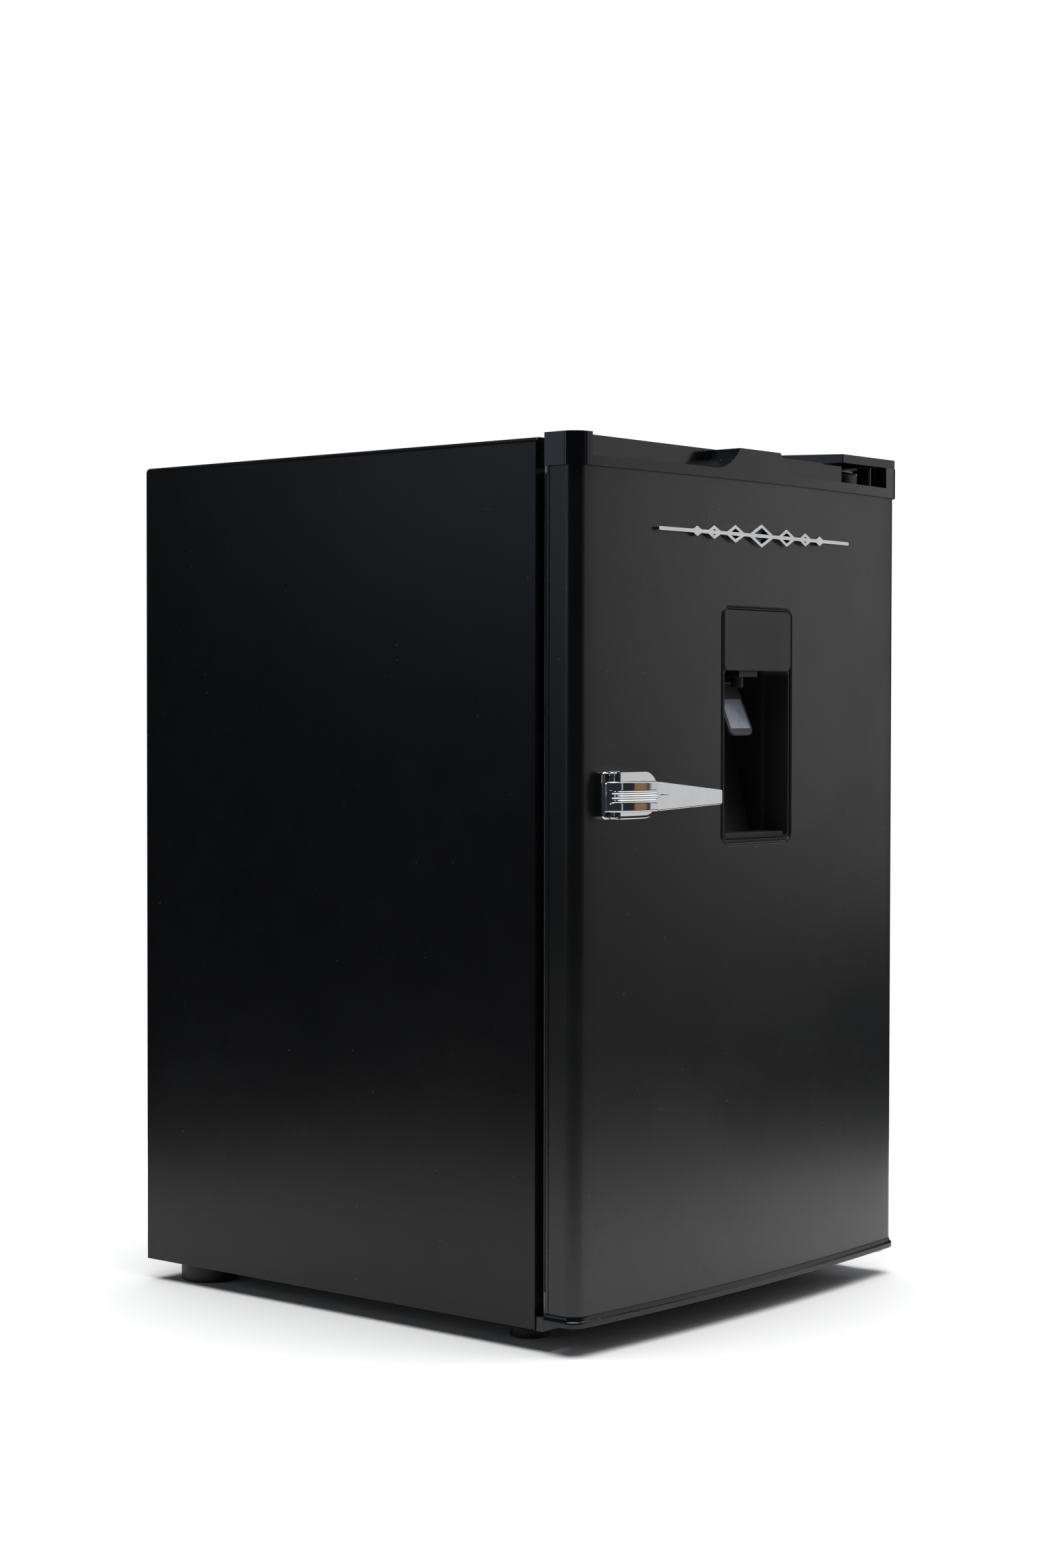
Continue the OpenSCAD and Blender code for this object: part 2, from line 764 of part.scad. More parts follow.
cover_y0 = -41;         // hinge cover: front, back, left end and its top's two heights
cover_y1 = 76;
cover_x0 = 150;
cover_front = 760.8;
cover_back = 765.6;
hinge_z = cap_top + 0.9;
hinge_t = 2.5;          // top hinge plate
plate_y1 = 66;
arm_r = 11;             // round end of both hinge arms
screw_r = 3;
screw_y = 46;
screw_y0 = 20;

screw_top_x = [plate_x0 - 18, body_x - 16];

// Half disc at the free end of a hinge arm
module arm_end(z, t) {
  difference() {
    rod_z(hinge_x, hinge_y, z, z + t, arm_r);
    box([hinge_x - arm_r - cut, hinge_y, z - cut],
        [hinge_x + arm_r + cut, hinge_y + arm_r + cut, z + t + cut]);
  }
}

module top_hinge() {
  color("#9a9ca0") place() {
    difference() {
      box([plate_x0 - 30, 3, body_top], [body_x - 4, plate_y1, hinge_z + hinge_t]);
      for (x = screw_top_x) rod_z(x, screw_y, body_top - cut, hinge_z + hinge_t + cut, screw_r);
    }
    box([hinge_x - arm_r - 2, hinge_y, hinge_z], [hinge_x + arm_r, 3, hinge_z + hinge_t]);
    arm_end(hinge_z, hinge_t);
    rod_z(hinge_x, hinge_y, cap_z + ledge_h + 2, hinge_z, pin_r);
  }
}

module hinge_cover() {
  wall = 2;
  side = [[cover_y0, hinge_z - 0.5], [0, hinge_z - 0.5], [0, body_top + 0.1],
    [cover_y1, body_top + 0.1], [cover_y1, cover_back], [cover_y0, cover_front]];
  hollow = [[cover_y0 + wall, hinge_z - 2], [wall, hinge_z - 2], [wall, body_top - cut],
    [cover_y1 - wall, body_top - cut], [cover_y1 - wall, cover_back - wall],
    [cover_y0 + wall, cover_front - wall]];
  color("#20242c") place() difference() {
    bar(cover_x0, body_x - 0.5) polygon(side);
    bar(cover_x0 + wall, body_x - 0.5 - wall) polygon(hollow);
  }
}

low_z = 20.3;           // bottom hinge plate
low_t = 3;
low_screw_x = body_x - 20;

module bottom_hinge() {
  color("#9a9ca0") place() {
    difference() {
      box([plate_x0, hinge_y, low_z], [body_x - sheet_t - eps, 60, low_z + low_t]);
      for (y = [screw_y0, screw_y])
        rod_z(low_screw_x, y, low_z - cut, low_z + low_t + cut, screw_r);
    }
    arm_end(low_z, low_t);
    rod_z(hinge_x, hinge_y, low_z + low_t, low_z + low_t + 18, pin_r);
  }
}

module hinge_screws() {
  head_r = 5.2;
  head_h = 3;
  color("#c4c6ca") place() {
    for (x = screw_top_x) {
      rod_z(x, screw_y, body_top, hinge_z + hinge_t, screw_r, fine_fn);
      rod_z(x, screw_y, hinge_z + hinge_t, hinge_z + hinge_t + head_h, head_r, fine_fn);
    }
    for (y = [screw_y0, screw_y]) {
      rod_z(low_screw_x, y, low_z, low_z + low_t, screw_r, fine_fn);
      rod_z(low_screw_x, y, low_z - head_h, low_z, head_r, fine_fn);
    }
  }
}

bush_r = 7;             // hinge bushes in the door
bush_top = skin_z + 14;

module hinge_bushes() {
  color("#dcdcdc") place() {
    difference() {
      rod_z(hinge_x, hinge_y, cap_z + ledge_h, cap_top - 0.2, bush_r);
      rod_z(hinge_x, hinge_y, cap_z, cap_top + cut, pin_r + run_fit);
    }
    difference() {
      rod_z(hinge_x, hinge_y, trim_z, bush_top, bush_r);
      rod_z(hinge_x, hinge_y, trim_z - cut, bush_top - cut, pin_r + run_fit);
    }
  }
}

// ---- Door ----

disp_in_w = disp_w - 2 * disp_rim;
disp_in_h = disp_h - 2 * disp_rim;
rim_lap = 0.4;          // how far the recess reaches under the frame's border

// Opening of the dispenser through the door, grown on all sides

module dispenser_hole(grow, y0, y1) {
  slab(y0, y1) translate([0, disp_z - grow])
    rounded(disp_w + 2 * grow, disp_h + 2 * grow, disp_r + grow);
}

module door_skin() {
  lip = 12;
  color("#2c2c2e") place() difference() {
    door_block(0, -door_gap, skin_z, cap_z);
    door_block(sheet_t, -door_gap - sheet_t, skin_z - cut, cap_z + cut);
    box([-body_x + lip, -door_gap - 2 * sheet_t, skin_z - cut],
        [body_x - lip, -door_gap + cut, cap_z + cut]);
    dispenser_hole(0.05, door_y - 5, door_y + 10);
  }
}

// Side view of the recess's inner part, grown by d, with its slanted back
module tub_profile(d) {
  floor_z = disp_z + disp_rim;
  knee = 520;
  polygon([[door_y + recess_d - (d > 0 ? 0 : cut), floor_z + 2 - d],
    [door_y + recess_low + d, floor_z + 2 - d], [door_y + recess_deep + d, knee],
    [door_y + recess_deep + d, panel_z + d],
    [door_y + recess_d - (d > 0 ? 0 : cut), panel_z + d]]);
}

tub_x = 42;
tub_t = 2;

module tub_clear() {
  bar(-tub_x - tub_t, tub_x + tub_t) tub_profile(tub_t);
}

module door_foam() {
  color("#e8d9a8") place() difference() {
    door_block(sheet_t, -door_gap - liner_t, skin_z, cap_z);
    dispenser_hole(rim_lap - disp_rim, door_y - 5, door_y + recess_d);
    dispenser_hole(0.5, door_y - 5, door_y + 8);
    slab(door_y + recess_d - cut, -door_gap) translate([-tub_x - tub_t, disp_z])
      square([2 * (tub_x + tub_t), disp_h]);
    rod_z(hinge_x, hinge_y, skin_z - cut, bush_top, bush_r);
  }
}

plug_x = 185;           // raised ring on the door's inside that holds the racks
plug_w = 12;
plug_z0 = 78;
plug_z1 = 698;
plug_y = 20;

module door_liner() {
  color("#f1f1ee") place() difference() {
    union() {
      difference() {
        door_block(sheet_t, -door_gap, skin_z, cap_z);
        box([-body_w, door_y - cut, 0], [body_w, -door_gap - liner_t, cap_top]);
        difference() {
          box([-body_w, -door_gap - sheet_t, 0], [body_w, 0, cap_top]);
          box([-body_x + 12, -door_gap - 2, 0], [body_x - 12, 0, cap_top]);
        }
      }
      difference() {
        box([-plug_x, -door_gap, plug_z0], [plug_x, plug_y, plug_z1]);
        box([-plug_x + plug_w, -door_gap, plug_z0 + plug_w],
            [plug_x - plug_w, plug_y + cut, plug_z1 - plug_w]);
      }
    }
    tub_clear();
    box([-spout_x - eps, -door_gap - sheet_t - liner_t, panel_z],
        [spout_x + eps, -door_gap + cut, tank_z]);
  }
}

seal_x0 = -226;         // door seal
seal_x1 = 221.5;
seal_w = 15;
seal_z0 = 46;
seal_z1 = 722;

// Magnetic seal with a fold all round
module door_gasket() {
  fold = 3;
  fold_y0 = -7.5;
  fold_y1 = -5.5;
  color("#3b3b3d") place() difference() {
    box([seal_x0, -door_gap, seal_z0], [seal_x1, -eps, seal_z1]);
    box([seal_x0 + seal_w, -door_gap - cut, seal_z0 + seal_w],
        [seal_x1 - seal_w, cut, seal_z1 - seal_w]);
    difference() {
      box([seal_x0 - cut, fold_y0, seal_z0 - cut], [seal_x1 + cut, fold_y1, seal_z1 + cut]);
      box([seal_x0 + fold, fold_y0 - cut, seal_z0 + fold],
          [seal_x1 - fold, fold_y1 + cut, seal_z1 - fold]);
    }
  }
}

block_x = 30;           // cap: middle block, finger scoops, left block, slot and hinge pocket
scoop_y = -30;
scoop_w = 34;
scoop_x0 = -221;
slot_x = 165;
pocket_x = 170;
post_x = 213;
boss_r = 10;

// Front view of the finger scoops in the cap, from the ledge up
module scoop_shape() {
  rise = cap_h - ledge_h;
  r = (scoop_w * scoop_w + rise * rise) / (2 * rise);
  a = atan2(scoop_w, r - rise);
  n = 10;
  pts = [for (i = [0 : n]) [block_x + scoop_w - r * sin(a * i / n),
    cap_z + ledge_h + r * (1 - cos(a * i / n))]];
  polygon(concat([[slot_x, cap_z + ledge_h]], pts, [[block_x, cap_top + cut],
    [slot_x, cap_top + cut]]));
}

// Top cap: a ledge with a recessed rear wall between blocks
module door_cap() {
  wall = 4;
  peg_x = 23;
  peg_y = 4;
  peg_r = 7;
  front = door_y - overhang - cut;
  color("#0c0c0e") place() {
    difference() {
      door_block(-overhang, -door_gap, cap_z, cap_top);
      slab(front, scoop_y) scoop_shape();
      slab(front, scoop_y) mirror([1, 0]) scoop_shape();
      box([scoop_x0, front, cap_z + ledge_h], [-slot_x + cut, scoop_y, cap_top + cut]);
      box([slot_x - cut, front, cap_z + ledge_h], [pocket_x, scoop_y + 6, cap_top + cut]);
      box([pocket_x, front, cap_z + ledge_h], [post_x, -door_gap + cut, cap_top + cut]);
      box([post_x - cut, edge_y - door_r + wall, cap_z + ledge_h],
          [body_x + overhang - wall, -door_gap + cut, cap_top + cut]);
    }
    difference() {
      rod_z(hinge_x, hinge_y, cap_z + ledge_h, cap_top, boss_r);
      rod_z(hinge_x, hinge_y, cap_z + ledge_h - cut, cap_top + cut, bush_r);
    }
    rod_z(hinge_x - peg_x, hinge_y - peg_y, cap_z + ledge_h, cap_top - 1, peg_r);
  }
}

// Bottom trim: a proud band with a flush strip above it
module door_trim() {
  band = 5;
  inset = 0.4;
  color("#0c0c0e") place() difference() {
    union() {
      door_block(-overhang, -door_gap, trim_z, trim_z + band);
      door_block(-inset, -door_gap, trim_z + band, skin_z);
    }
    rod_z(hinge_x, hinge_y, trim_z - cut, skin_z + cut, bush_r);
  }
}

module dispenser_frame() {
  proud = 0.6;
  color("#101012") place() {
    slab(door_y - proud, door_y + 1) difference() {
      translate([0, disp_z]) rounded(disp_w, disp_h, disp_r);
      translate([0, disp_z + disp_rim]) rounded(disp_in_w, disp_in_h, disp_r - disp_rim);
    }
  }
}

module dispenser_recess() {
  color("#0b0b0d") place() {
    difference() {
      slab(door_y + 1, door_y + recess_d) difference() {
        translate([0, disp_z + disp_rim - rim_lap])
          rounded(disp_in_w + 2 * rim_lap, disp_in_h + 2 * rim_lap, disp_r - disp_rim + rim_lap);
        translate([0, disp_z + disp_rim + 2])
          rounded(disp_in_w - 4, panel_z - disp_z - disp_rim - 2, disp_r - disp_rim - 2);
        translate([0, panel_z + tub_t])
          rounded(disp_in_w - 4, disp_z + disp_h - disp_rim - panel_z - tub_t - 2, 3);
      }
      box([-spout_x - 0.05, door_y, panel_z - cut], [spout_x + 0.05, 0, panel_z + 5]);
    }
    difference() {
      slab(door_y + recess_d - tub_t, door_y + recess_d)
        translate([0, disp_z + disp_rim + 1])
          rounded(disp_in_w - 2, panel_z - disp_z - disp_rim - 1, 4);
      bar(-tub_x, tub_x) translate([-2 * tub_t, 0]) tub_profile(0);
      bar(-tub_x, tub_x) tub_profile(0);
    }
    difference() {
      bar(-tub_x - tub_t, tub_x + tub_t) tub_profile(tub_t);
      bar(-tub_x, tub_x) tub_profile(0);
      box([-spout_x - 0.05, door_y, panel_z - cut], [spout_x + 0.05, 0, panel_z + 5]);
      rod_z(0, stem_y, panel_z - cut, panel_z + 5, 6);
    }
  }
}

spout_x = 13.5;         // spout block
spout_y0 = door_y + 10;
spout_y1 = door_y + 50;
spout_h = 14;
pad_y = door_y + 37;    // paddle pivot
pad_z = 551;
pad_r = 2;
stem_y = pad_y + 8;

module dispenser_panel() {
  color("#303032") place()
    slab(door_y - 0.4, door_y + 1) translate([0, panel_z + 0.2])
      rounded(disp_in_w - 0.4, disp_z + disp_h - disp_rim - panel_z - 0.4, 6);
}

module dispenser_spout() {
  ear_in = 18.6;
  ear_t = 3;
  nozzle_y = spout_y0 + 12;
  color("#141416") place() difference() {
    union() {
      box([-spout_x, spout_y0, panel_z - 5], [spout_x, spout_y1, panel_z + spout_h]);
      rod_z(0, nozzle_y, panel_z - 14, panel_z - 4, 5.5, fine_fn);
      for (s = [-1, 1])
        box([s > 0 ? ear_in : -ear_in - ear_t, pad_y - 5, pad_z - 5],
            [s > 0 ? ear_in + ear_t : -ear_in, pad_y + 5, panel_z]);
    }
    rod_z(0, nozzle_y, panel_z - 15, panel_z + 15, 3, fine_fn);
    rod_z(0, stem_y, panel_z - 6, panel_z + 15, stem_rod + run_fit, fine_fn);
    rod_x(pad_y, pad_z, -30, 30, pad_r + run_fit, fine_fn);
  }
}

stem_rod = 2.5;
pad_w = 35;             // paddle and its plate
pad_l = 50;
pad_t = 2.5;
pad_tilt = 23.8;
glow_w = 29;
glow_z0 = 16;
glow_l = 28;
glow_t = 0.8;

// Tilted plate on a cross axle, with a short arm under the valve stem
module paddle() {
  corner = 8;
  axle = 21.6;
  color("#55565a") place() translate([0, pad_y, pad_z]) {
    rotate([-pad_tilt, 0, 0]) difference() {
      slab(-pad_t / 2, pad_t / 2) {
        translate([-pad_w / 2, -pad_l + corner]) square([pad_w, pad_l - corner]);
        translate([-pad_w / 2 + corner, -pad_l]) square([pad_w - 2 * corner, pad_l]);
        for (s = [-1, 1])
          translate([s * (pad_w / 2 - corner), -pad_l + corner]) circle(r = corner, $fn = 40);
      }
      box([-glow_w / 2, -pad_t / 2 - cut, -glow_z0 - glow_l],
          [glow_w / 2, -pad_t / 2 + glow_t, -glow_z0]);
    }
    rod_x(0, 0, -axle, axle, pad_r, fine_fn);
    box([-4, 0, -1.2], [4, 10, 1.2]);
  }
}

module paddle_plate() {
  color("#c3cadb") place() translate([0, pad_y, pad_z]) rotate([-pad_tilt, 0, 0])
    box([-glow_w / 2, -pad_t / 2 - 0.4, -glow_z0 - glow_l], [glow_w / 2, -pad_t / 2 + glow_t, -glow_z0]);
}

module valve_stem() {
  color("#dadada") place() rod_z(0, stem_y, pad_z + 1.8, tank_z - 4, stem_rod, fine_fn);
}

module outlet_valve() {
  half = 12;
  color("#d2d4d6") place() difference() {
    box([-half, spout_y0 + 4, panel_z + spout_h], [half, spout_y1, tank_z]);
    rod_z(0, stem_y, panel_z + spout_h - cut, tank_z + cut, stem_rod + run_fit, fine_fn);
  }
}

module drip_tray() {
  half = disp_in_w / 2 - 6;
  z = disp_z + disp_rim + 2.3;
  h = 5;
  slots = 11;
  slot_w = 4.4;
  pitch = 7.6;
  y0 = door_y + 3;
  y1 = door_y + recess_d - tub_t - 1;
  color("#1c1c1f") place() difference() {
    box([-half, y0, z], [half, y1, z + h]);
    for (i = [0 : slots - 1])
      translate([(i - (slots - 1) / 2) * pitch, 0, 0])
        box([-slot_w / 2, y0 + 3, z + 1.3], [slot_w / 2, y1 - 3, z + h + cut]);
  }
}

tank_x = 150;           // water tank
tank_z = 584;
tank_h = 78;
tank_y0 = -door_gap + 0.2;
tank_y1 = 55;
tank_wall = 2;

module water_tank() {
  color("#cfe0e8") place() difference() {
    box([-tank_x, tank_y0, tank_z], [tank_x, tank_y1, tank_z + tank_h]);
    box([-tank_x + tank_wall, tank_y0 + tank_wall, tank_z + tank_wall],
        [tank_x - tank_wall, tank_y1 - tank_wall, tank_z + tank_h + cut]);
  }
}

// Flat lid with a skirt inside the tank's wall
module tank_lid() {
  lid_t = 3;
  skirt_h = 5;
  out = tank_wall + eps;
  inner = 2 * tank_wall + eps;
  z = tank_z + tank_h + eps;
  color("#e6eef2") place() {
    box([-tank_x, tank_y0, z], [tank_x, tank_y1, z + lid_t]);
    difference() {
      box([-tank_x + out, tank_y0 + out, z - skirt_h], [tank_x - out, tank_y1 - out, z]);
      box([-tank_x + inner, tank_y0 + inner, z - skirt_h - cut],
          [tank_x - inner, tank_y1 - inner, z + cut]);
    }
  }
}

// Open bin between the ring's sides
module rack(z, h, depth) {
  wall = 2.5;
  x = plug_x - plug_w;
  color("#e9edef") place() difference() {
    box([-x, -door_gap, z], [x, depth, z + h]);
    box([-x + wall, -door_gap + wall, z + wall], [x - wall, depth - wall, z + h + cut]);
  }
}

module rack_lower() {
  rack(plug_z0 + plug_w, 85, 78);
}

module rack_upper() {
  rack(300, 48, 62);
}

// ---- Handle and badge ----

// Front view of the handle base: small corners at its left end, large at its right
module grip_front() {
  big = 18;
  small = 4;
  x1 = grip_x + grip_w;
  z0 = grip_z - grip_h / 2;
  translate([grip_x + small, z0]) square([grip_w - small - big, grip_h]);
  translate([grip_x, z0 + small]) square([small, grip_h - 2 * small]);
  translate([x1 - big, z0 + big]) square([big, grip_h - 2 * big]);
  for (z = [z0 + small, z0 + grip_h - small])
    translate([grip_x + small, z]) circle(r = small, $fn = 32);
  for (z = [z0 + big, z0 + grip_h - big]) translate([x1 - big, z]) circle(r = big, $fn = 64);
}

// Plan of the base: a flat front that steps back for the barrel at its left end
module grip_plan() {
  step_x = grip_x + 11.4;
  step_y = grip_y + 9.5;
  soft = 1;
  polygon([[grip_x, -door_gap], [grip_x, step_y + 3], [grip_x + 3, step_y], [step_x, step_y],
    [step_x, grip_y + soft], [step_x + soft, grip_y], [grip_x + grip_w, grip_y],
    [grip_x + grip_w, -door_gap]]);
}

// Upright barrel in the step
barrel_x = grip_x + 7.4;
barrel_y = grip_y + 6.6;
barrel_r = 3.2;

module grip_solid() {
  intersection() {
    slab(grip_y - cut, 0) grip_front();
    linear_extrude(height = body_h) grip_plan();
  }
  rod_z(barrel_x, barrel_y, grip_z - grip_h / 2 + 1, grip_z + grip_h / 2 - 1, barrel_r, fine_fn);
}

module handle_base() {
  color("#c9cbd0") place() difference() {
    grip_solid();
    door_block(0, -door_gap + cut, 0, body_h);
  }
}

// Bowed band round the barrel that thins into a flat blade
module handle_lever() {
  root_x = grip_x + 50.4;
  left = grip_x + 1.4;
  mid = grip_z - 1.1;
  tip_z = grip_z - 3.6;
  corner = 3;
  right = grip_x + grip_w;
  band = [[0, 14.6], [0.4, 12.6], [1.6, 10.6], [4, 8.6], [8, 6.9], [14, 5.35], [21, 3.95],
    [29, 2.65], [39, 1.25], [root_x - left, 0]];
  blade = [[root_x + 0.4, lever_y + 1], [lever_x, lever_y + 3], [lever_x, lever_y + 7.6],
    [right + 6, lever_y + 8.4]];
  plan = concat([for (b = band) [left + b[0], lever_y + b[1]]], blade,
    [[right, grip_y + cut], [grip_x + 12, grip_y + cut], [grip_x + 12, barrel_y]]);
  color("#d4d6da") place() difference() {
    intersection() {
      linear_extrude(height = body_h) polygon(plan);
      slab(lever_y - cut, 0) polygon([[left - cut, mid - lever_h / 2], [root_x, mid - lever_h / 2],
        [lever_x - corner, tip_z - tip_h / 2], [lever_x, tip_z - tip_h / 2 + corner],
        [lever_x, tip_z + tip_h / 2 - corner], [lever_x - corner, tip_z + tip_h / 2],
        [root_x, mid + lever_h / 2], [left - cut, mid + lever_h / 2]]);
    }
    grip_solid();
    door_block(0, -door_gap + cut, 0, body_h);
  }
}

// Diamond with a diamond opening
module lozenge(w, h, line) {
  function corners(a, b) = [[-a, 0], [0, -b], [a, 0], [0, b]];
  k = 1 - 2 * line / h;
  difference() {
    polygon(corners(w / 2, h / 2));
    polygon(corners(k * w / 2, k * h / 2));
  }
}

// Plain ornament: a bar with a row of open diamonds that shrink outwards
module badge() {
  bar_h = 3.2;
  line = 3;
  tall = 20;
  long = 40;
  gap = 3;
  count = 4;
  shrink = 0.76;
  reach = badge_t + 20;
  function at(i) = i == 0 ? 0
    : at(i - 1) + long / 2 * (pow(shrink, i - 1) + pow(shrink, i)) + gap;
  color("#d9dbe0") place() intersection() {
    slab(door_y - reach, -reach) translate([0, badge_z]) {
      translate([-badge_l + bar_h / 2, -bar_h / 2]) square([2 * badge_l - bar_h, bar_h]);
      for (s = [-1, 1]) {
        translate([s * (badge_l - bar_h / 2), 0]) circle(r = bar_h / 2, $fn = small_fn);
        for (i = [s > 0 ? 0 : 1 : count - 1])
          translate([s * at(i), 0]) lozenge(long * pow(shrink, i), tall * pow(shrink, i), line);
      }
    }
    difference() {
      door_block(-badge_t, -door_gap, badge_z - tall, badge_z + tall);
      door_block(0, -door_gap + cut, badge_z - tall - cut, badge_z + tall + cut);
    }
  }
}

// Threaded levelling foot
module foot(s) {
  pad_r = 17;
  pad_h = 9;
  color("#18181a") place() {
    rod_z(s * foot_x, foot_y, 0, pad_h, pad_r);
    rod_z(s * foot_x, foot_y, pad_h, stem_top, stem_r, fine_fn);
  }
}

module foot_left() {
  foot(-1);
}

module foot_right() {
  foot(1);
}

cabinet_shell();
cabinet_foam();
cabinet_liner();
back_panel();
base_pan();
front_rail();
freezer_box();
freezer_supports();
freezer_frame();
thermostat_housing();
sensor_tube();
top_hinge();
hinge_cover();
bottom_hinge();
hinge_screws();
compressor();
compressor_grommets();
terminal_cover();
discharge_tube();
suction_tube();
filter_drier();
capillary_tube();
condenser_tube();
condenser_wires();
condenser_brackets();
drip_pan();
cord_gland();
rear_feet();
drain_tube();
door_skin();
door_foam();
door_liner();
door_gasket();
door_cap();
door_trim();
dispenser_frame();
dispenser_recess();
dispenser_panel();
dispenser_spout();
water_tank();
outlet_valve();
handle_base();
handle_lever();
badge();
rack_lower();
rack_upper();
hinge_bushes();
tank_lid();
paddle();
paddle_plate();
valve_stem();
drip_tray();
freezer_flap();
chill_tray();
shelf_lower();
shelf_upper();
thermostat_knob();
foot_left();
foot_right();
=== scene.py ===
# Looks for the compact refrigerator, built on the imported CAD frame. Metres, +Z up, the door faces -Y.
import json
import math

import bmesh
import bpy
from mathutils import Matrix, Vector


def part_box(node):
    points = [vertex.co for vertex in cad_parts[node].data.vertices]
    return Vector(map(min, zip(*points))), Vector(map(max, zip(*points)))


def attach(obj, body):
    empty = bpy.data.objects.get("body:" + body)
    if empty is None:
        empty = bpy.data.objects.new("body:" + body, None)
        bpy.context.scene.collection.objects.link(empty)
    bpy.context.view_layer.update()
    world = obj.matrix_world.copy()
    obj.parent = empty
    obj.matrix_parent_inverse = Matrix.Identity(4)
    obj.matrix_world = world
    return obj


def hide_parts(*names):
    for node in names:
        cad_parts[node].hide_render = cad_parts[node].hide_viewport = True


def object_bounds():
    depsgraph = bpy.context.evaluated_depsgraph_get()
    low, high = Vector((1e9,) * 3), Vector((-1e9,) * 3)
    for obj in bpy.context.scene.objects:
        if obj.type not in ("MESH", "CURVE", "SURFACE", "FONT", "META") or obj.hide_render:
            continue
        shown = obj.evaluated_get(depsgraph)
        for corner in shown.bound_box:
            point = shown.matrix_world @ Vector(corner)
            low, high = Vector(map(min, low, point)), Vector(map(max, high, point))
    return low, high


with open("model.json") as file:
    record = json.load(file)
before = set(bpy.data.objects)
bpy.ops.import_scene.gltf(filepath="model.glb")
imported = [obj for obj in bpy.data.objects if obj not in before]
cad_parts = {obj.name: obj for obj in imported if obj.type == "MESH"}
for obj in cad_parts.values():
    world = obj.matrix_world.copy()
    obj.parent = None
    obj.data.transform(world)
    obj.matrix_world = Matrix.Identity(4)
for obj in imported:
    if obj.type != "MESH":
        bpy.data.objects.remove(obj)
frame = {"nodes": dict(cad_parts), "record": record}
cad_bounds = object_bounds()
NODES = frame["nodes"]
BODY_OF = {n: b for b, ns in frame["record"]["behaviour"]["bodies"].items() for n in ns}
SLOT_OF = {s["node"]: s["material_slot"] for s in frame["record"]["subparts"]}
MM = 0.001
scene = bpy.context.scene


# ---------------------------------------------------------------- materials

def links(tree, a, b):
    """Joins output a to input b."""
    tree.links.new(a, b)


def noise(t, src, scale, detail=3.0, rough=0.55, stretch=None, seed=0.0):
    """A noise texture in object space, with its own offset and stretch."""
    m = t.nodes.new("ShaderNodeMapping")
    m.inputs["Location"].default_value = (seed, seed * 0.7, seed * 1.3)
    m.inputs["Scale"].default_value = stretch or (1, 1, 1)
    links(t, src, m.inputs["Vector"])
    n = t.nodes.new("ShaderNodeTexNoise")
    n.inputs["Scale"].default_value = scale
    n.inputs["Detail"].default_value = detail
    n.inputs["Roughness"].default_value = rough
    links(t, m.outputs["Vector"], n.inputs["Vector"])
    return n.outputs["Fac"]


def span(t, fac, a0, a1, b0, b1):
    """Maps fac from a0..a1 to b0..b1, clamped."""
    r = t.nodes.new("ShaderNodeMapRange")
    for k, v in zip(("From Min", "From Max", "To Min", "To Max"), (a0, a1, b0, b1)):
        r.inputs[k].default_value = v
    links(t, fac, r.inputs["Value"])
    return r.outputs["Result"]


def math_node(t, op, a, b):
    """One math node on two sockets or numbers."""
    m = t.nodes.new("ShaderNodeMath")
    m.operation = op
    for i, v in enumerate((a, b)):
        if isinstance(v, (int, float)):
            m.inputs[i].default_value = v
        else:
            links(t, v, m.inputs[i])
    return m.outputs[0]


def ramp(t, fac, stops):
    """A colour ramp through (position, colour) stops."""
    r = t.nodes.new("ShaderNodeValToRGB")
    while len(r.color_ramp.elements) < len(stops):
        r.color_ramp.elements.new(0.5)
    for e, (p, c) in zip(r.color_ramp.elements, stops):
        e.position = p
        e.color = (*c, 1)
    links(t, fac, r.inputs["Fac"])
    return r.outputs["Color"]


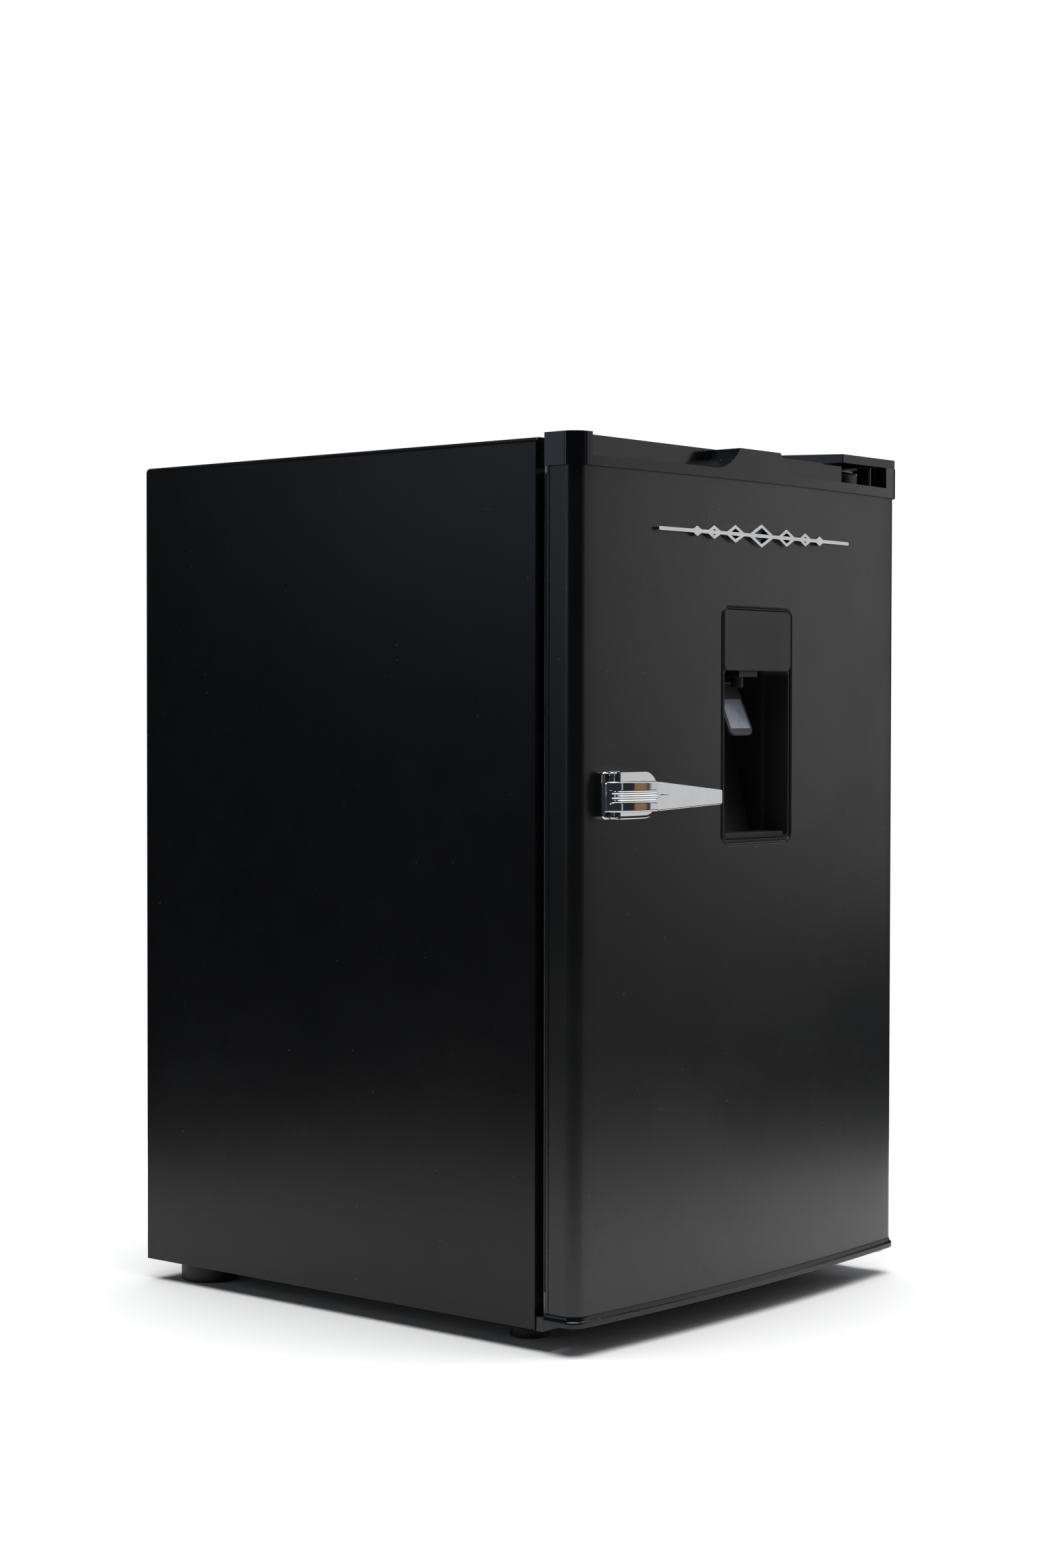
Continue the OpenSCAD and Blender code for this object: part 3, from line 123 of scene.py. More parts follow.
def finish_of(name, dark, light, rough, metal=0.0, tone=25.0, stretch=None, peel=0.0, peel_scale=900.0,
              patch=0.0, patch_scale=9.0, specks=0.0, scratches=0.0, coat=0.0, coat_rough=0.08,
              transmission=0.0, ior=1.5, specular=0.5, seed=0.0):
    """One procedural finish: mottled colour, uneven roughness, fine relief, optional dust and scratches."""
    m = bpy.data.materials.new(name)
    m.use_nodes = True
    t = m.node_tree
    p = t.nodes["Principled BSDF"]
    src = t.nodes.new("ShaderNodeTexCoord").outputs["Object"]
    mottle = noise(t, src, tone, 4, 0.6, stretch, seed + 1.7)
    colour = ramp(t, mottle, [(0.32, dark), (0.68, light)])
    if specks:
        v = t.nodes.new("ShaderNodeTexVoronoi")
        v.inputs["Scale"].default_value = 95
        links(t, src, v.inputs["Vector"])
        grain = noise(t, src, 38, 2, 0.5, None, seed + 4)
        dot = math_node(t, "LESS_THAN", v.outputs["Distance"], 0.075)
        dot = math_node(t, "MULTIPLY", dot, span(t, grain, 0.56, 0.64, 0, specks))
        mix = t.nodes.new("ShaderNodeMix")
        mix.data_type = "RGBA"
        mix.inputs["B"].default_value = (0.5, 0.5, 0.5, 1)
        links(t, dot, mix.inputs["Factor"])
        links(t, colour, mix.inputs["A"])
        colour = mix.outputs["Result"]
    links(t, colour, p.inputs["Base Color"])
    rough_in = span(t, noise(t, src, patch_scale, 5, 0.6, stretch, seed + 3.1), 0.3, 0.7,
                    rough - patch, rough + patch)
    if scratches:
        s1 = noise(t, src, 130, 2, 0.4, (1, 1, 14), seed + 8)
        s2 = noise(t, src, 130, 2, 0.4, (14, 1, 1), seed + 9)
        line = math_node(t, "MAXIMUM", span(t, s1, 0.66, 0.74, 0, scratches),
                         span(t, s2, 0.68, 0.76, 0, scratches))
        rough_in = math_node(t, "ADD", rough_in, line)
    links(t, rough_in, p.inputs["Roughness"])
    if peel:
        h = noise(t, src, peel_scale, 2, 0.5, stretch, seed)
        b = t.nodes.new("ShaderNodeBump")
        b.inputs["Strength"].default_value = peel
        b.inputs["Distance"].default_value = 0.0004
        links(t, h, b.inputs["Height"])
        links(t, b.outputs["Normal"], p.inputs["Normal"])
    p.inputs["Metallic"].default_value = metal
    p.inputs["IOR"].default_value = ior
    p.inputs["Specular IOR Level"].default_value = specular
    p.inputs["Coat Weight"].default_value = coat
    p.inputs["Coat Roughness"].default_value = coat_rough
    p.inputs["Transmission Weight"].default_value = transmission
    return m


MATS = {
    "cabinet_paint": finish_of("cabinet_paint", (0.0026, 0.0026, 0.0030), (0.0044, 0.0044, 0.0048), 0.27,
                               specular=0.30, peel=0.10, peel_scale=1500, patch=0.025, patch_scale=5,
                               specks=0.10, seed=2),
    "door_paint": finish_of("door_paint", (0.0034, 0.0034, 0.0034), (0.0048, 0.0048, 0.0047), 0.28,
                            peel=0.16, peel_scale=1700, patch=0.035, patch_scale=6, specks=0.12, seed=5),
    "black_gloss": finish_of("black_gloss", (0.0026, 0.0030, 0.0040), (0.0044, 0.0050, 0.0066), 0.13,
                             specular=0.36, peel=0.05, peel_scale=500, patch=0.04, patch_scale=30,
                             scratches=0.05, specks=0.10, seed=7),
    "black_paint": finish_of("black_paint", (0.0060, 0.0060, 0.0062), (0.0120, 0.0118, 0.0115), 0.36,
                             peel=0.25, peel_scale=700, patch=0.08, patch_scale=24, specks=0.2, seed=9),
    "black_matte": finish_of("black_matte", (0.0080, 0.0080, 0.0085), (0.0150, 0.0150, 0.0155), 0.56,
                             peel=0.45, peel_scale=1100, patch=0.07, patch_scale=20, specks=0.15, seed=11),
    "grey_plastic": finish_of("grey_plastic", (0.0125, 0.0125, 0.0127), (0.0165, 0.0165, 0.0165), 0.42,
                              peel=0.22, peel_scale=1500, patch=0.04, patch_scale=14, seed=13),
    "paddle_plastic": finish_of("paddle_plastic", (0.040, 0.040, 0.043), (0.055, 0.055, 0.060), 0.40,
                                peel=0.25, peel_scale=1300, patch=0.05, patch_scale=30, seed=15),
    "glow_plastic": finish_of("glow_plastic", (0.34, 0.37, 0.47), (0.50, 0.54, 0.68), 0.22,
                              tone=45, stretch=(1, 1, 0.4), peel=0.06, patch=0.05, coat=0.4, seed=17),
    "chrome": finish_of("chrome", (0.54, 0.545, 0.555), (0.62, 0.625, 0.635), 0.060, metal=1.0, tone=14,
                        peel=0.012, peel_scale=160, patch=0.025, patch_scale=35, scratches=0.05, seed=19),
    "plated_steel": finish_of("plated_steel", (0.42, 0.43, 0.45), (0.62, 0.63, 0.64), 0.34, metal=1.0,
                              tone=120, stretch=(1, 6, 6), peel=0.12, peel_scale=500, patch=0.09,
                              patch_scale=40, seed=21),
    "aluminium": finish_of("aluminium", (0.60, 0.61, 0.63), (0.78, 0.79, 0.80), 0.38, metal=1.0, tone=60,
                           stretch=(1, 10, 1), peel=0.12, peel_scale=420, patch=0.08, patch_scale=18,
                           seed=23),
    "copper": finish_of("copper", (0.42, 0.17, 0.09), (0.72, 0.36, 0.21), 0.30, metal=1.0, tone=60,
                        peel=0.10, peel_scale=300, patch=0.10, patch_scale=30, seed=25),
    "liner_plastic": finish_of("liner_plastic", (0.785, 0.785, 0.770), (0.810, 0.810, 0.795), 0.34,
                               peel=0.12, peel_scale=420, patch=0.012, patch_scale=10, seed=27),
    "frost_plastic": finish_of("frost_plastic", (0.72, 0.77, 0.80), (0.76, 0.81, 0.84), 0.30,
                               transmission=0.35, ior=1.49, peel=0.08, peel_scale=500, patch=0.015,
                               patch_scale=16, seed=29),
    "tank_plastic": finish_of("tank_plastic", (0.64, 0.75, 0.81), (0.68, 0.79, 0.85), 0.16,
                              transmission=0.55, ior=1.49, peel=0.04, peel_scale=300, patch=0.012,
                              patch_scale=12, seed=31),
    "shelf_glass": finish_of("shelf_glass", (0.80, 0.90, 0.87), (0.83, 0.93, 0.90), 0.03,
                             transmission=0.9, ior=1.52, patch=0.010, patch_scale=10, scratches=0.02,
                             seed=33),
    "rubber": finish_of("rubber", (0.010, 0.010, 0.011), (0.020, 0.020, 0.021), 0.62,
                        peel=0.4, peel_scale=800, patch=0.08, patch_scale=30, specks=0.2, seed=35),
    "back_paint": finish_of("back_paint", (0.030, 0.030, 0.032), (0.044, 0.044, 0.046), 0.42,
                            peel=0.2, peel_scale=900, patch=0.07, patch_scale=9, specks=0.2, seed=37),
    "pan_paint": finish_of("pan_paint", (0.034, 0.034, 0.036), (0.056, 0.055, 0.054), 0.45,
                           peel=0.3, peel_scale=600, patch=0.09, patch_scale=14, specks=0.3, seed=39),
    "foam": finish_of("foam", (0.62, 0.50, 0.24), (0.80, 0.70, 0.42), 0.85, tone=120,
                      peel=0.9, peel_scale=380, patch=0.05, seed=41),
}


# ---------------------------------------------------------------- mesh helpers

def keep(ob, body, nodes=(), slot=None, angle=38):
    """Applies the piece's modifiers, shades it, paints it and rides it on its body."""
    bpy.context.view_layer.update()
    if ob.modifiers:
        dg = bpy.context.evaluated_depsgraph_get()
        me = bpy.data.meshes.new_from_object(ob.evaluated_get(dg))
        ob.modifiers.clear()
        ob.data = me
    me = ob.data
    if angle is not None:
        me.shade_smooth()
        me.set_sharp_from_angle(angle=math.radians(angle))
    slot = slot or SLOT_OF[nodes[0]]
    me.materials.clear()
    me.materials.append(MATS[slot])
    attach(ob, body)
    if nodes:
        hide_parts(*nodes)
    return ob


def blank(name, verts, faces):
    """A mesh object from points and faces, welded, with its normals outward."""
    me = bpy.data.meshes.new(name)
    me.from_pydata([tuple(v) for v in verts], [], faces)
    bm = bmesh.new()
    bm.from_mesh(me)
    bmesh.ops.remove_doubles(bm, verts=bm.verts, dist=2e-6)
    bmesh.ops.recalc_face_normals(bm, faces=bm.faces)
    bm.to_mesh(me)
    bm.free()
    ob = bpy.data.objects.new(name, me)
    scene.collection.objects.link(ob)
    return ob


def loft(name, rings, close=True, cap_first=False, cap_last=False, loop=False):
    """Bridges rings of points. close joins each ring's ends, loop joins the last ring to the first."""
    n = len(rings[0])
    verts = [p for r in rings for p in r]
    faces = []
    for i in range(len(rings) - (0 if loop else 1)):
        a, b = i * n, ((i + 1) % len(rings)) * n
        for k in range(n if close else n - 1):
            k2 = (k + 1) % n
            faces.append((a + k, a + k2, b + k2, b + k))
    if cap_first:
        faces.append(tuple(range(n)))
    if cap_last:
        faces.append(tuple((len(rings) - 1) * n + k for k in range(n)))
    return blank(name, verts, faces)


def bevel(ob, width, segments=2, angle=30):
    """Rounds the sharp edges, with weighted normals."""
    m = ob.modifiers.new("edge", "BEVEL")
    m.width = width
    m.segments = segments
    m.limit_method = "ANGLE"
    m.angle_limit = math.radians(angle)
    m.use_clamp_overlap = True
    m.miter_outer = "MITER_ARC"
    w = ob.modifiers.new("normals", "WEIGHTED_NORMAL")
    w.keep_sharp = True
    w.weight = 80
    return ob


def soften(node, width, segments=2, slot=None, angle=30, split=False):
    """The CAD node's own shape with its edges rounded, as a piece that replaces it.

    split cuts rims and other concave faces into convex parts first."""
    src = NODES[node]
    bm = bmesh.new()
    bm.from_mesh(src.data)
    bmesh.ops.remove_doubles(bm, verts=bm.verts, dist=4e-6)
    bmesh.ops.dissolve_limit(bm, angle_limit=math.radians(0.4), verts=bm.verts, edges=bm.edges)
    if split:
        bmesh.ops.connect_verts_concave(bm, faces=[f for f in bm.faces if len(f.verts) > 4])
    me = bpy.data.meshes.new(node + "_soft")
    bm.to_mesh(me)
    bm.free()
    me.shade_smooth()
    me.set_sharp_from_angle(angle=math.radians(60))
    ob = bpy.data.objects.new(node + "_soft", me)
    scene.collection.objects.link(ob)
    bevel(ob, width, segments, angle)
    return keep(ob, BODY_OF[node], (node,), slot, angle=None)


def paint(node):
    """Gives a carried-over CAD node its own material."""
    me = NODES[node].data
    me.materials.clear()
    me.materials.append(MATS[SLOT_OF[node]])


def fillet(points, radius, steps=7):
    """Rounds the corners of a path of points."""
    pts = [Vector(p) for p in points]
    out = [pts[0]]
    for a, b, c in zip(pts, pts[1:], pts[2:]):
        u, v = (a - b), (c - b)
        r = min(radius, u.length * 0.49, v.length * 0.49)
        ang = u.angle(v)
        if ang > math.radians(178):
            out.append(b)
            continue
        cut = min(r / math.tan(ang / 2), u.length * 0.49, v.length * 0.49)
        p, q = b + u.normalized() * cut, b + v.normalized() * cut
        for i in range(steps + 1):
            k = i / steps
            out.append(p.lerp(b, k).lerp(b.lerp(q, k), k))
    out.append(pts[-1])
    return out


def tube(name, path, radius, sides=10, ends=True):
    """A round tube swept along a path without twisting."""
    pts = [Vector(p) for p in path]
    tang = [(b - a).normalized() for a, b in zip(pts, pts[1:])]
    tang = [tang[0]] + [(a + b).normalized() for a, b in zip(tang, tang[1:])] + [tang[-1]]
    side = tang[0].orthogonal().normalized()
    rings = []
    for i, (p, t) in enumerate(zip(pts, tang)):
        if i:
            side = (side - t * side.dot(t)).normalized()
        up = t.cross(side)
        rings.append([p + (side * math.cos(a) + up * math.sin(a)) * radius
                      for a in (2 * math.pi * k / sides for k in range(sides))])
    return loft(name, rings, cap_first=ends, cap_last=ends)


def join(name, obs):
    """One mesh object from several."""
    verts, faces = [], []
    for o in obs:
        base = len(verts)
        verts += [v.co.copy() for v in o.data.vertices]
        faces += [tuple(base + i for i in p.vertices) for p in o.data.polygons]
        bpy.data.objects.remove(o)
    return blank(name, verts, faces)


def lathe(name, profile, centre, axis="Z", sides=48):
    """A closed turned shape. profile is (radius, height) pairs along the axis."""
    rings = []
    for r, h in profile:
        ring = []
        for k in range(sides):
            a = 2 * math.pi * k / sides
            c, s = max(r, 1e-5) * math.cos(a), max(r, 1e-5) * math.sin(a)
            ring.append(Vector((c, s, h)) if axis == "Z" else Vector((c, h, s)))
        rings.append([Vector(centre) + p for p in ring])
    return loft(name, rings, cap_first=True, cap_last=True)


def rounded_rect(w, h, r, cx, cz, n=8):
    """Points of a rounded rectangle in X and Z."""
    out = []
    for sx, sz, a0 in ((1, 1, 0), (-1, 1, 90), (-1, -1, 180), (1, -1, 270)):
        for i in range(n + 1):
            a = math.radians(a0 + 90 * i / n)
            out.append((cx + sx * (w / 2 - r) + r * math.cos(a), cz + sz * (h / 2 - r) + r * math.sin(a)))
    return out


# ---------------------------------------------------------------- door outline

skin_lo, skin_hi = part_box("door_skin")
BX, FRONT, REAR = skin_hi.x, skin_lo.y, skin_hi.y
BOW, EDGE_R = 11 * MM, 11.8 * MM
BOW_R = (BX * BX + BOW * BOW) / (2 * BOW)
BOW_C = FRONT + BOW_R
EX = BX - EDGE_R
EY = BOW_C - math.sqrt((BOW_R - EDGE_R) ** 2 - EX * EX)
BOW_A = math.asin(EX / (BOW_R - EDGE_R))


def bow_y(x, d=0.0):
    """The door front's Y at x, d metres proud of it."""
    return BOW_C - math.sqrt((BOW_R + d) ** 2 - x * x)


def half_plan(d=0.0, steps=12):
    """The door's plan round its left front corner, up to the start of the bow."""
    out = []
    for i in range(steps + 1):
        t = (math.pi / 2 - BOW_A) * i / steps
        out.append((-EX - (EDGE_R + d) * math.cos(t), EY - (EDGE_R + d) * math.sin(t)))
    return out


def plan(d=0.0, n=44, steps=12):
    """The door's whole plan from rear corner to rear corner, d metres outside it."""
    left = [(-BX - d, REAR)] + half_plan(d, steps)
    mid = []
    for i in range(1, n):
        s = -BOW_A + 2 * BOW_A * i / n
        mid.append(((BOW_R + d) * math.sin(s), BOW_C - (BOW_R + d) * math.cos(s)))
    return left + mid + [(-x, y) for x, y in reversed(left)]


# ---------------------------------------------------------------- door skin

def make_skin():
    """The bowed door sheet, hemmed at its rear edge, with the dispenser's opening."""
    fr_lo, fr_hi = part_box("dispenser_frame")
    hw, hz = (fr_hi.x - fr_lo.x) / 2 + 0.05 * MM, (fr_hi.z - fr_lo.z) / 2 + 0.05 * MM
    cz, r = (fr_hi.z + fr_lo.z) / 2, 10 * MM
    xm, zm = hw + 22 * MM, hz + 20 * MM
    z0, z1 = skin_lo.z, skin_hi.z

    def even(a, b, n):
        return [a + (b - a) * i / n for i in range(n + 1)]

    k = 17 * MM
    xs = even(-xm, -xm + k, 8)[:-1] + even(-xm + k, xm - k, 8) + even(xm - k, xm, 8)[1:]
    zmid = even(cz - zm, cz - zm + k, 8)[:-1] + even(cz - zm + k, cz + zm - k, 12)
    zmid += even(cz + zm - k, cz + zm, 8)[1:]
    zlow, zhigh = even(z0, cz - zm, 14), even(cz + zm, z1, 6)
    zall = zlow[:-1] + zmid + zhigh[1:]
    verts, faces = [], []

    def grid(cols, rows):
        base = len(verts)
        for x, y in cols:
            verts.extend((x, y, z) for z in rows)
        n = len(rows)
        for i in range(len(cols) - 1):
            for j in range(n - 1):
                a = base + i * n + j
                faces.append((a, a + n, a + n + 1, a + 1))

    g = 0.7 * MM
    hem = [(-BX + 5 * MM, REAR), (-BX + 0.5 * MM, REAR), (-BX, REAR - 0.5 * MM), (-BX, REAR - 2.6 * MM),
           (-BX + g, REAR - 3.0 * MM), (-BX + g, REAR - 4.2 * MM), (-BX, REAR - 4.6 * MM)]
    left = hem + [(-BX, REAR + (EY - REAR) * i / 4) for i in (2, 3)] + half_plan(0, 12)
    left += [(x, bow_y(x)) for x in even(-EX, -xm, 10)[1:]]
    grid(left, zall)
    grid([(-x, y) for x, y in reversed(left)], zall)
    mid = [(x, bow_y(x)) for x in xs]
    grid(mid, zlow)
    grid(mid, zhigh)
    edge = [(x, cz - zm) for x in xs] + [(xm, z) for z in zmid[1:]]
    edge += [(x, cz + zm) for x in reversed(xs[:-1])] + [(-xm, z) for z in reversed(zmid[1:-1])]
    hole = []
    for x, z in edge:
        u, v = x * hw / xm, (z - cz) * hz / zm
        cu, cv = math.copysign(hw - r, u), math.copysign(hz - r, v)
        if abs(u) > hw - r and abs(v) > hz - r:
            q = Vector((u - cu, v - cv)).normalized() * r
            u, v = cu + q.x, cv + q.y
        hole.append((u, cz + v))
    steps = 5
    for s in range(steps + 1):
        for (x, z), (u, v) in zip(edge, hole):
            p = x + (u - x) * s / steps
            verts.append((p, bow_y(p), z + (v - z) * s / steps))
    n = len(edge)
    base = len(verts) - n * (steps + 1)
    for s in range(steps):
        for i in range(n):
            a, b = base + s * n + i, base + s * n + (i + 1) % n
            faces.append((a, b, b + n, a + n))
    ob = blank("door_sheet", verts, faces)
    if sum(p.normal.y * p.area for p in ob.data.polygons) > 0:
        ob.data.flip_normals()
    m = ob.modifiers.new("thick", "SOLIDIFY")
    m.thickness = 0.9 * MM
    m.offset = -1
    m.use_even_offset = True
    return keep(ob, "door", ("door_skin",), angle=28)


make_skin()


# ---------------------------------------------------------------- bottom trim

def make_trim():
    """The lipped strip along the door's bottom."""
    lo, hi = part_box("door_trim")
    d = hi.x - BX
    z = lo.z
    top = hi.z
    levels = [(d - 1.4 * MM, z + 0.1 * MM), (d - 0.5 * MM, z + 0.25 * MM), (d - 0.1 * MM, z + 0.8 * MM),
              (d, z + 1.4 * MM), (d, z + 4.2 * MM), (d - 0.15 * MM, z + 4.8 * MM),
              (d - 0.6 * MM, z + 5.2 * MM), (1.1 * MM, z + 6.6 * MM), (0.35 * MM, z + 8.4 * MM),
              (0.25 * MM, top)]
    rings = [[(x, y, h) for x, y in plan(e)] for e, h in levels]
    rings.insert(0, [(x * 0.985, min(y + 4 * MM, REAR), z + 0.1 * MM) for x, y in plan(0)])
    ob = loft("bottom_trim", rings, cap_first=True, cap_last=True)
    return keep(ob, "door", ("door_trim",), angle=50)


make_trim()


# ---------------------------------------------------------------- dispenser

def make_frame():
    """The dispenser's grooved bezel, which follows the door's bow."""
    lo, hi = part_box("dispenser_frame")
    w, h = hi.x - lo.x, hi.z - lo.z
    cz = (lo.z + hi.z) / 2
    prof = [(0, 1.4), (0, 0.15), (0.15, -0.25), (0.5, -0.5), (0.95, -0.5), (1.15, -0.2), (1.25, 0.35),
            (1.6, 0.4), (1.75, -0.1), (2.0, -0.5), (2.5, -0.6), (2.9, -0.5), (3.2, -0.1), (3.35, 0.4),
            (3.5, 1.0), (3.6, 3.2)]
    rings = []
    for t, dy in prof:
        pts = rounded_rect(w - 2 * t * MM, h - 2 * t * MM, (10 - t) * MM, 0, cz)
        long = []
        for (x, z), (u, v) in zip(pts, pts[1:] + pts[:1]):
            k = 4 if abs(u - x) > 20 * MM or abs(v - z) > 20 * MM else 1
            long += [(x + (u - x) * i / k, z + (v - z) * i / k) for i in range(k)]
        rings.append([(x, max(bow_y(x) + dy * MM, lo.y), z) for x, z in long])
    ob = loft("dispenser_bezel", rings)
    return keep(ob, "door", ("dispenser_frame",), angle=60)


make_frame()
soften("dispenser_recess", 0.9 * MM, 3, slot="black_matte")
soften("dispenser_panel", 0.35 * MM, 2)
soften("dispenser_spout", 0.7 * MM, 3, slot="grey_plastic")
soften("paddle", 0.6 * MM, 3)
soften("paddle_plate", 0.3 * MM, 2)
soften("drip_tray", 0.5 * MM, 2, split=True)
soften("water_tank", 0.8 * MM, 3, split=True)
soften("tank_lid", 0.6 * MM, 3, split=True)
soften("outlet_valve", 0.8 * MM, 2)


# ---------------------------------------------------------------- handle

def curve_through(points, n):
    """Catmull-Rom points through the given ones."""
    p = [Vector(q) for q in points]
    p = [2 * p[0] - p[1]] + p + [2 * p[-1] - p[-2]]
    out = []
    for i in range(1, len(p) - 2):
        for k in range(n):
            t = k / n
            a, b, c, d = p[i - 1], p[i], p[i + 1], p[i + 2]
            out.append(0.5 * ((2 * b) + (c - a) * t + (2 * a - 5 * b + 4 * c - d) * t * t
                              + (3 * b - a - 3 * c + d) * t ** 3))
    out.append(p[-2])
    return out


def make_grip():
    """The handle's base plate, stepped down at its left end round two turned knuckles."""
    lo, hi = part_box("handle_base")
    big, small = 18 * MM, 4 * MM
    cz, h = (lo.z + hi.z) / 2, hi.z - lo.z

    def outline(t):
        pts = []
        for cx, s, r, a0 in ((hi.x - big, 1, big, 0), (lo.x + small, 1, small, 90),
                             (lo.x + small, -1, small, 180), (hi.x - big, -1, big, 270)):
            for i in range(13):
                a = math.radians(a0 + 90 * i / 12)
                q = max(r - t, 0.2 * MM)
                pts.append((cx + q * math.cos(a), cz + s * (h / 2 - r) + q * math.sin(a)))
        long = []
        for (x, z), (u, v) in zip(pts, pts[1:] + pts[:1]):
            if abs(u - x) > 8 * MM:
                a, b = lo.x + step - 1.2 * MM, lo.x + step
                stops = [x] + sorted((q for q in (a, b, a - 3 * MM, b + 0.4 * MM, b + 8 * MM, b + 20 * MM)
                                      if min(x, u) + 0.5 * MM < q < max(x, u) - 0.5 * MM), reverse=u < x)
                long += [(q, z) for q in stops]
            else:
                k = 4 if abs(v - z) > 3 * MM else 1
                long += [(x + (u - x) * i / k, z + (v - z) * i / k) for i in range(k)]
        return long

    step = 11 * MM

    def front(x):
        return lo.y + 9 * MM * min(max((lo.x + step - x) / (1.2 * MM), 0), 1)

    rings = []
    for t, dy in ((0, None), (0, 1.9), (0.12, 1.1), (0.5, 0.45), (1.1, 0.1), (1.9, 0.0), (4, 0)):
        ring = []
        for x, z in outline(t * MM):
            y = bow_y(x, -0.3 * MM) if dy is None else front(x) + dy * MM
            ring.append((x, y, z))
        rings.append(ring)
    last = rings[-1]
    rings.append([(p[0], p[1], cz + (p[2] - cz) * 0.5) for p in last])
    rings.append([(p[0], p[1], cz) for p in last])
    ob = loft("grip_plate", rings)
    x, y = lo.x + 7.4 * MM, lo.y + 6.4 * MM
    knuckles = []
    for s in (-1, 1):
        z1, z0 = cz + s * (h / 2 - 0.6 * MM), cz + s * (h / 2 - 8.5 * MM)
        prof = [(2.2, 0), (3.2, 0.12), (3.3, 0.2), (3.3, 0.46), (2.5, 0.5), (2.5, 0.54), (3.3, 0.58),
                (3.3, 1)]
        turned = [(r * MM, z1 + (z0 - z1) * t) for r, t in prof]
        knuckles.append(lathe("knuckle", turned, (x, y, 0), sides=28))
    ob = join("grip_plate", [ob] + knuckles)
    return keep(ob, "door", ("handle_base",), angle=50)


def make_lever():
    """A bowed band with three ribs that creases into a flat, tapering blade."""
    lo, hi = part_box("handle_lever")
    cz, half = (lo.z + hi.z) / 2, (hi.z - lo.z) / 2
    f, left = lo.y, lo.x
    root = left + 49 * MM
    tip_drop, tip_half = 2.6 * MM, 6.35 * MM
    band = [(0, 19), (0.1, 16.5), (0.6, 13.4), (1.8, 11), (4, 8.8), (8, 6.95), (14, 5.35), (21, 3.95),
            (29, 2.65), (39, 1.25), (49, 0.02)]
    path = curve_through([(left + x * MM, f + y * MM, 0) for x, y in band], 6)
    blade = [(0.25, 0.75), (0.6, 1.0), (3, 1.1), (6, 1.2), (10, 1.3), (24, 1.6), (48, 2.2), (72, 2.6),
             (90, 2.95)]
    path += [Vector((root + x * MM, f + y * MM, 0)) for x, y in blade]
    path.append(Vector((hi.x - 2.2 * MM, f + 3 * MM, 0)))
    count = len(path)
    tang = [(path[min(i + 1, count - 1)] - path[max(i - 1, 0)]).normalized() for i in range(count)]
    pitch, rib_h = 3.7 * MM, 0.85 * MM
    rows = [-1 + 2 * j / 84 for j in range(85)]
    rings = []
    for p, t in zip(path, tang):
        along = p.x - root
        flat = along > 0.1 * MM
        q = Vector((t.y, -t.x, 0)) if not flat else Vector((0, -1, 0))
        k = min(max(along / (hi.x - root), 0), 1)
        hh, mid = half + (tip_half - half) * k, cz - tip_drop * k
        grow = min(max((p.x - left - 0.3 * MM) / (3 * MM), 0), 1) if not flat else 0
        groove = max(1 - along / (9 * MM), 0) if flat else 0
        round_r = (1.15 if flat else 1.7) * MM
        ring = []
        for u in rows:
            z = u * hh
            off = 0.0
            for d in (hh + z, hh - z):
                if d < round_r:
                    off -= round_r - math.sqrt(max(round_r ** 2 - (round_r - d) ** 2, 0))
            if abs(z) < 1.5 * pitch:
                off -= rib_h * grow * (0.5 - 0.5 * math.cos(2 * math.pi * z / pitch))
            if abs(z) < 1.3 * MM:
                off -= 0.5 * MM * groove
            ring.append(p + q * off + Vector((0, 0, mid + z)))
        if not flat:
            depth = min(max((p.x - left) / (12 * MM), 0), 1)
            inner = p - q * (1.9 * MM + 6.0 * MM * depth)
        else:
            inner = Vector((p.x, f + (8.4 - 0.8 * k) * MM, 0))
        ring += [inner + Vector((0, 0, mid + w * (hh - 0.7 * MM))) for w in (1, 0, -1)]
        rings.append(ring)
    for shift, keep_z in ((1.0, 0.95), (1.75, 0.86), (2.1, 0.72)):
        mid = cz - tip_drop
        rings.append([Vector((path[-1].x + shift * MM, p.y + (f + 5.3 * MM - p.y) * (1 - keep_z),
                              mid + (p.z - mid) * keep_z)) for p in rings[count - 1]])
    ob = loft("lever", rings, cap_first=True, cap_last=True)
    return keep(ob, "door", ("handle_lever",), angle=32)


make_grip()
make_lever()
soften("badge", 0.55 * MM, 3)

# ---------------------------------------------------------------- door top, liner, gasket

soften("door_cap", 1.2 * MM, 4, angle=28)
soften("hinge_bushes", 0.4 * MM)
soften("door_liner", 1.2 * MM, 3)
soften("rack_lower", 0.8 * MM, 3, split=True)
soften("rack_upper", 0.8 * MM, 3, split=True)


def picture_frame(name, x0, x1, z0, z1, profile, radius=3 * MM):
    """Sweeps a profile of (inset, y) pairs round a rectangle, as one closed ring."""
    cx, cz = (x0 + x1) / 2, (z0 + z1) / 2
    rings = []
    for t, y in profile:
        r = max(radius - t * 0.1, 1 * MM)
        rings.append([(x, y, z) for x, z in rounded_rect(x1 - x0 - 2 * t, z1 - z0 - 2 * t, r, cx, cz, 5)])
    return loft(name, rings, loop=True)


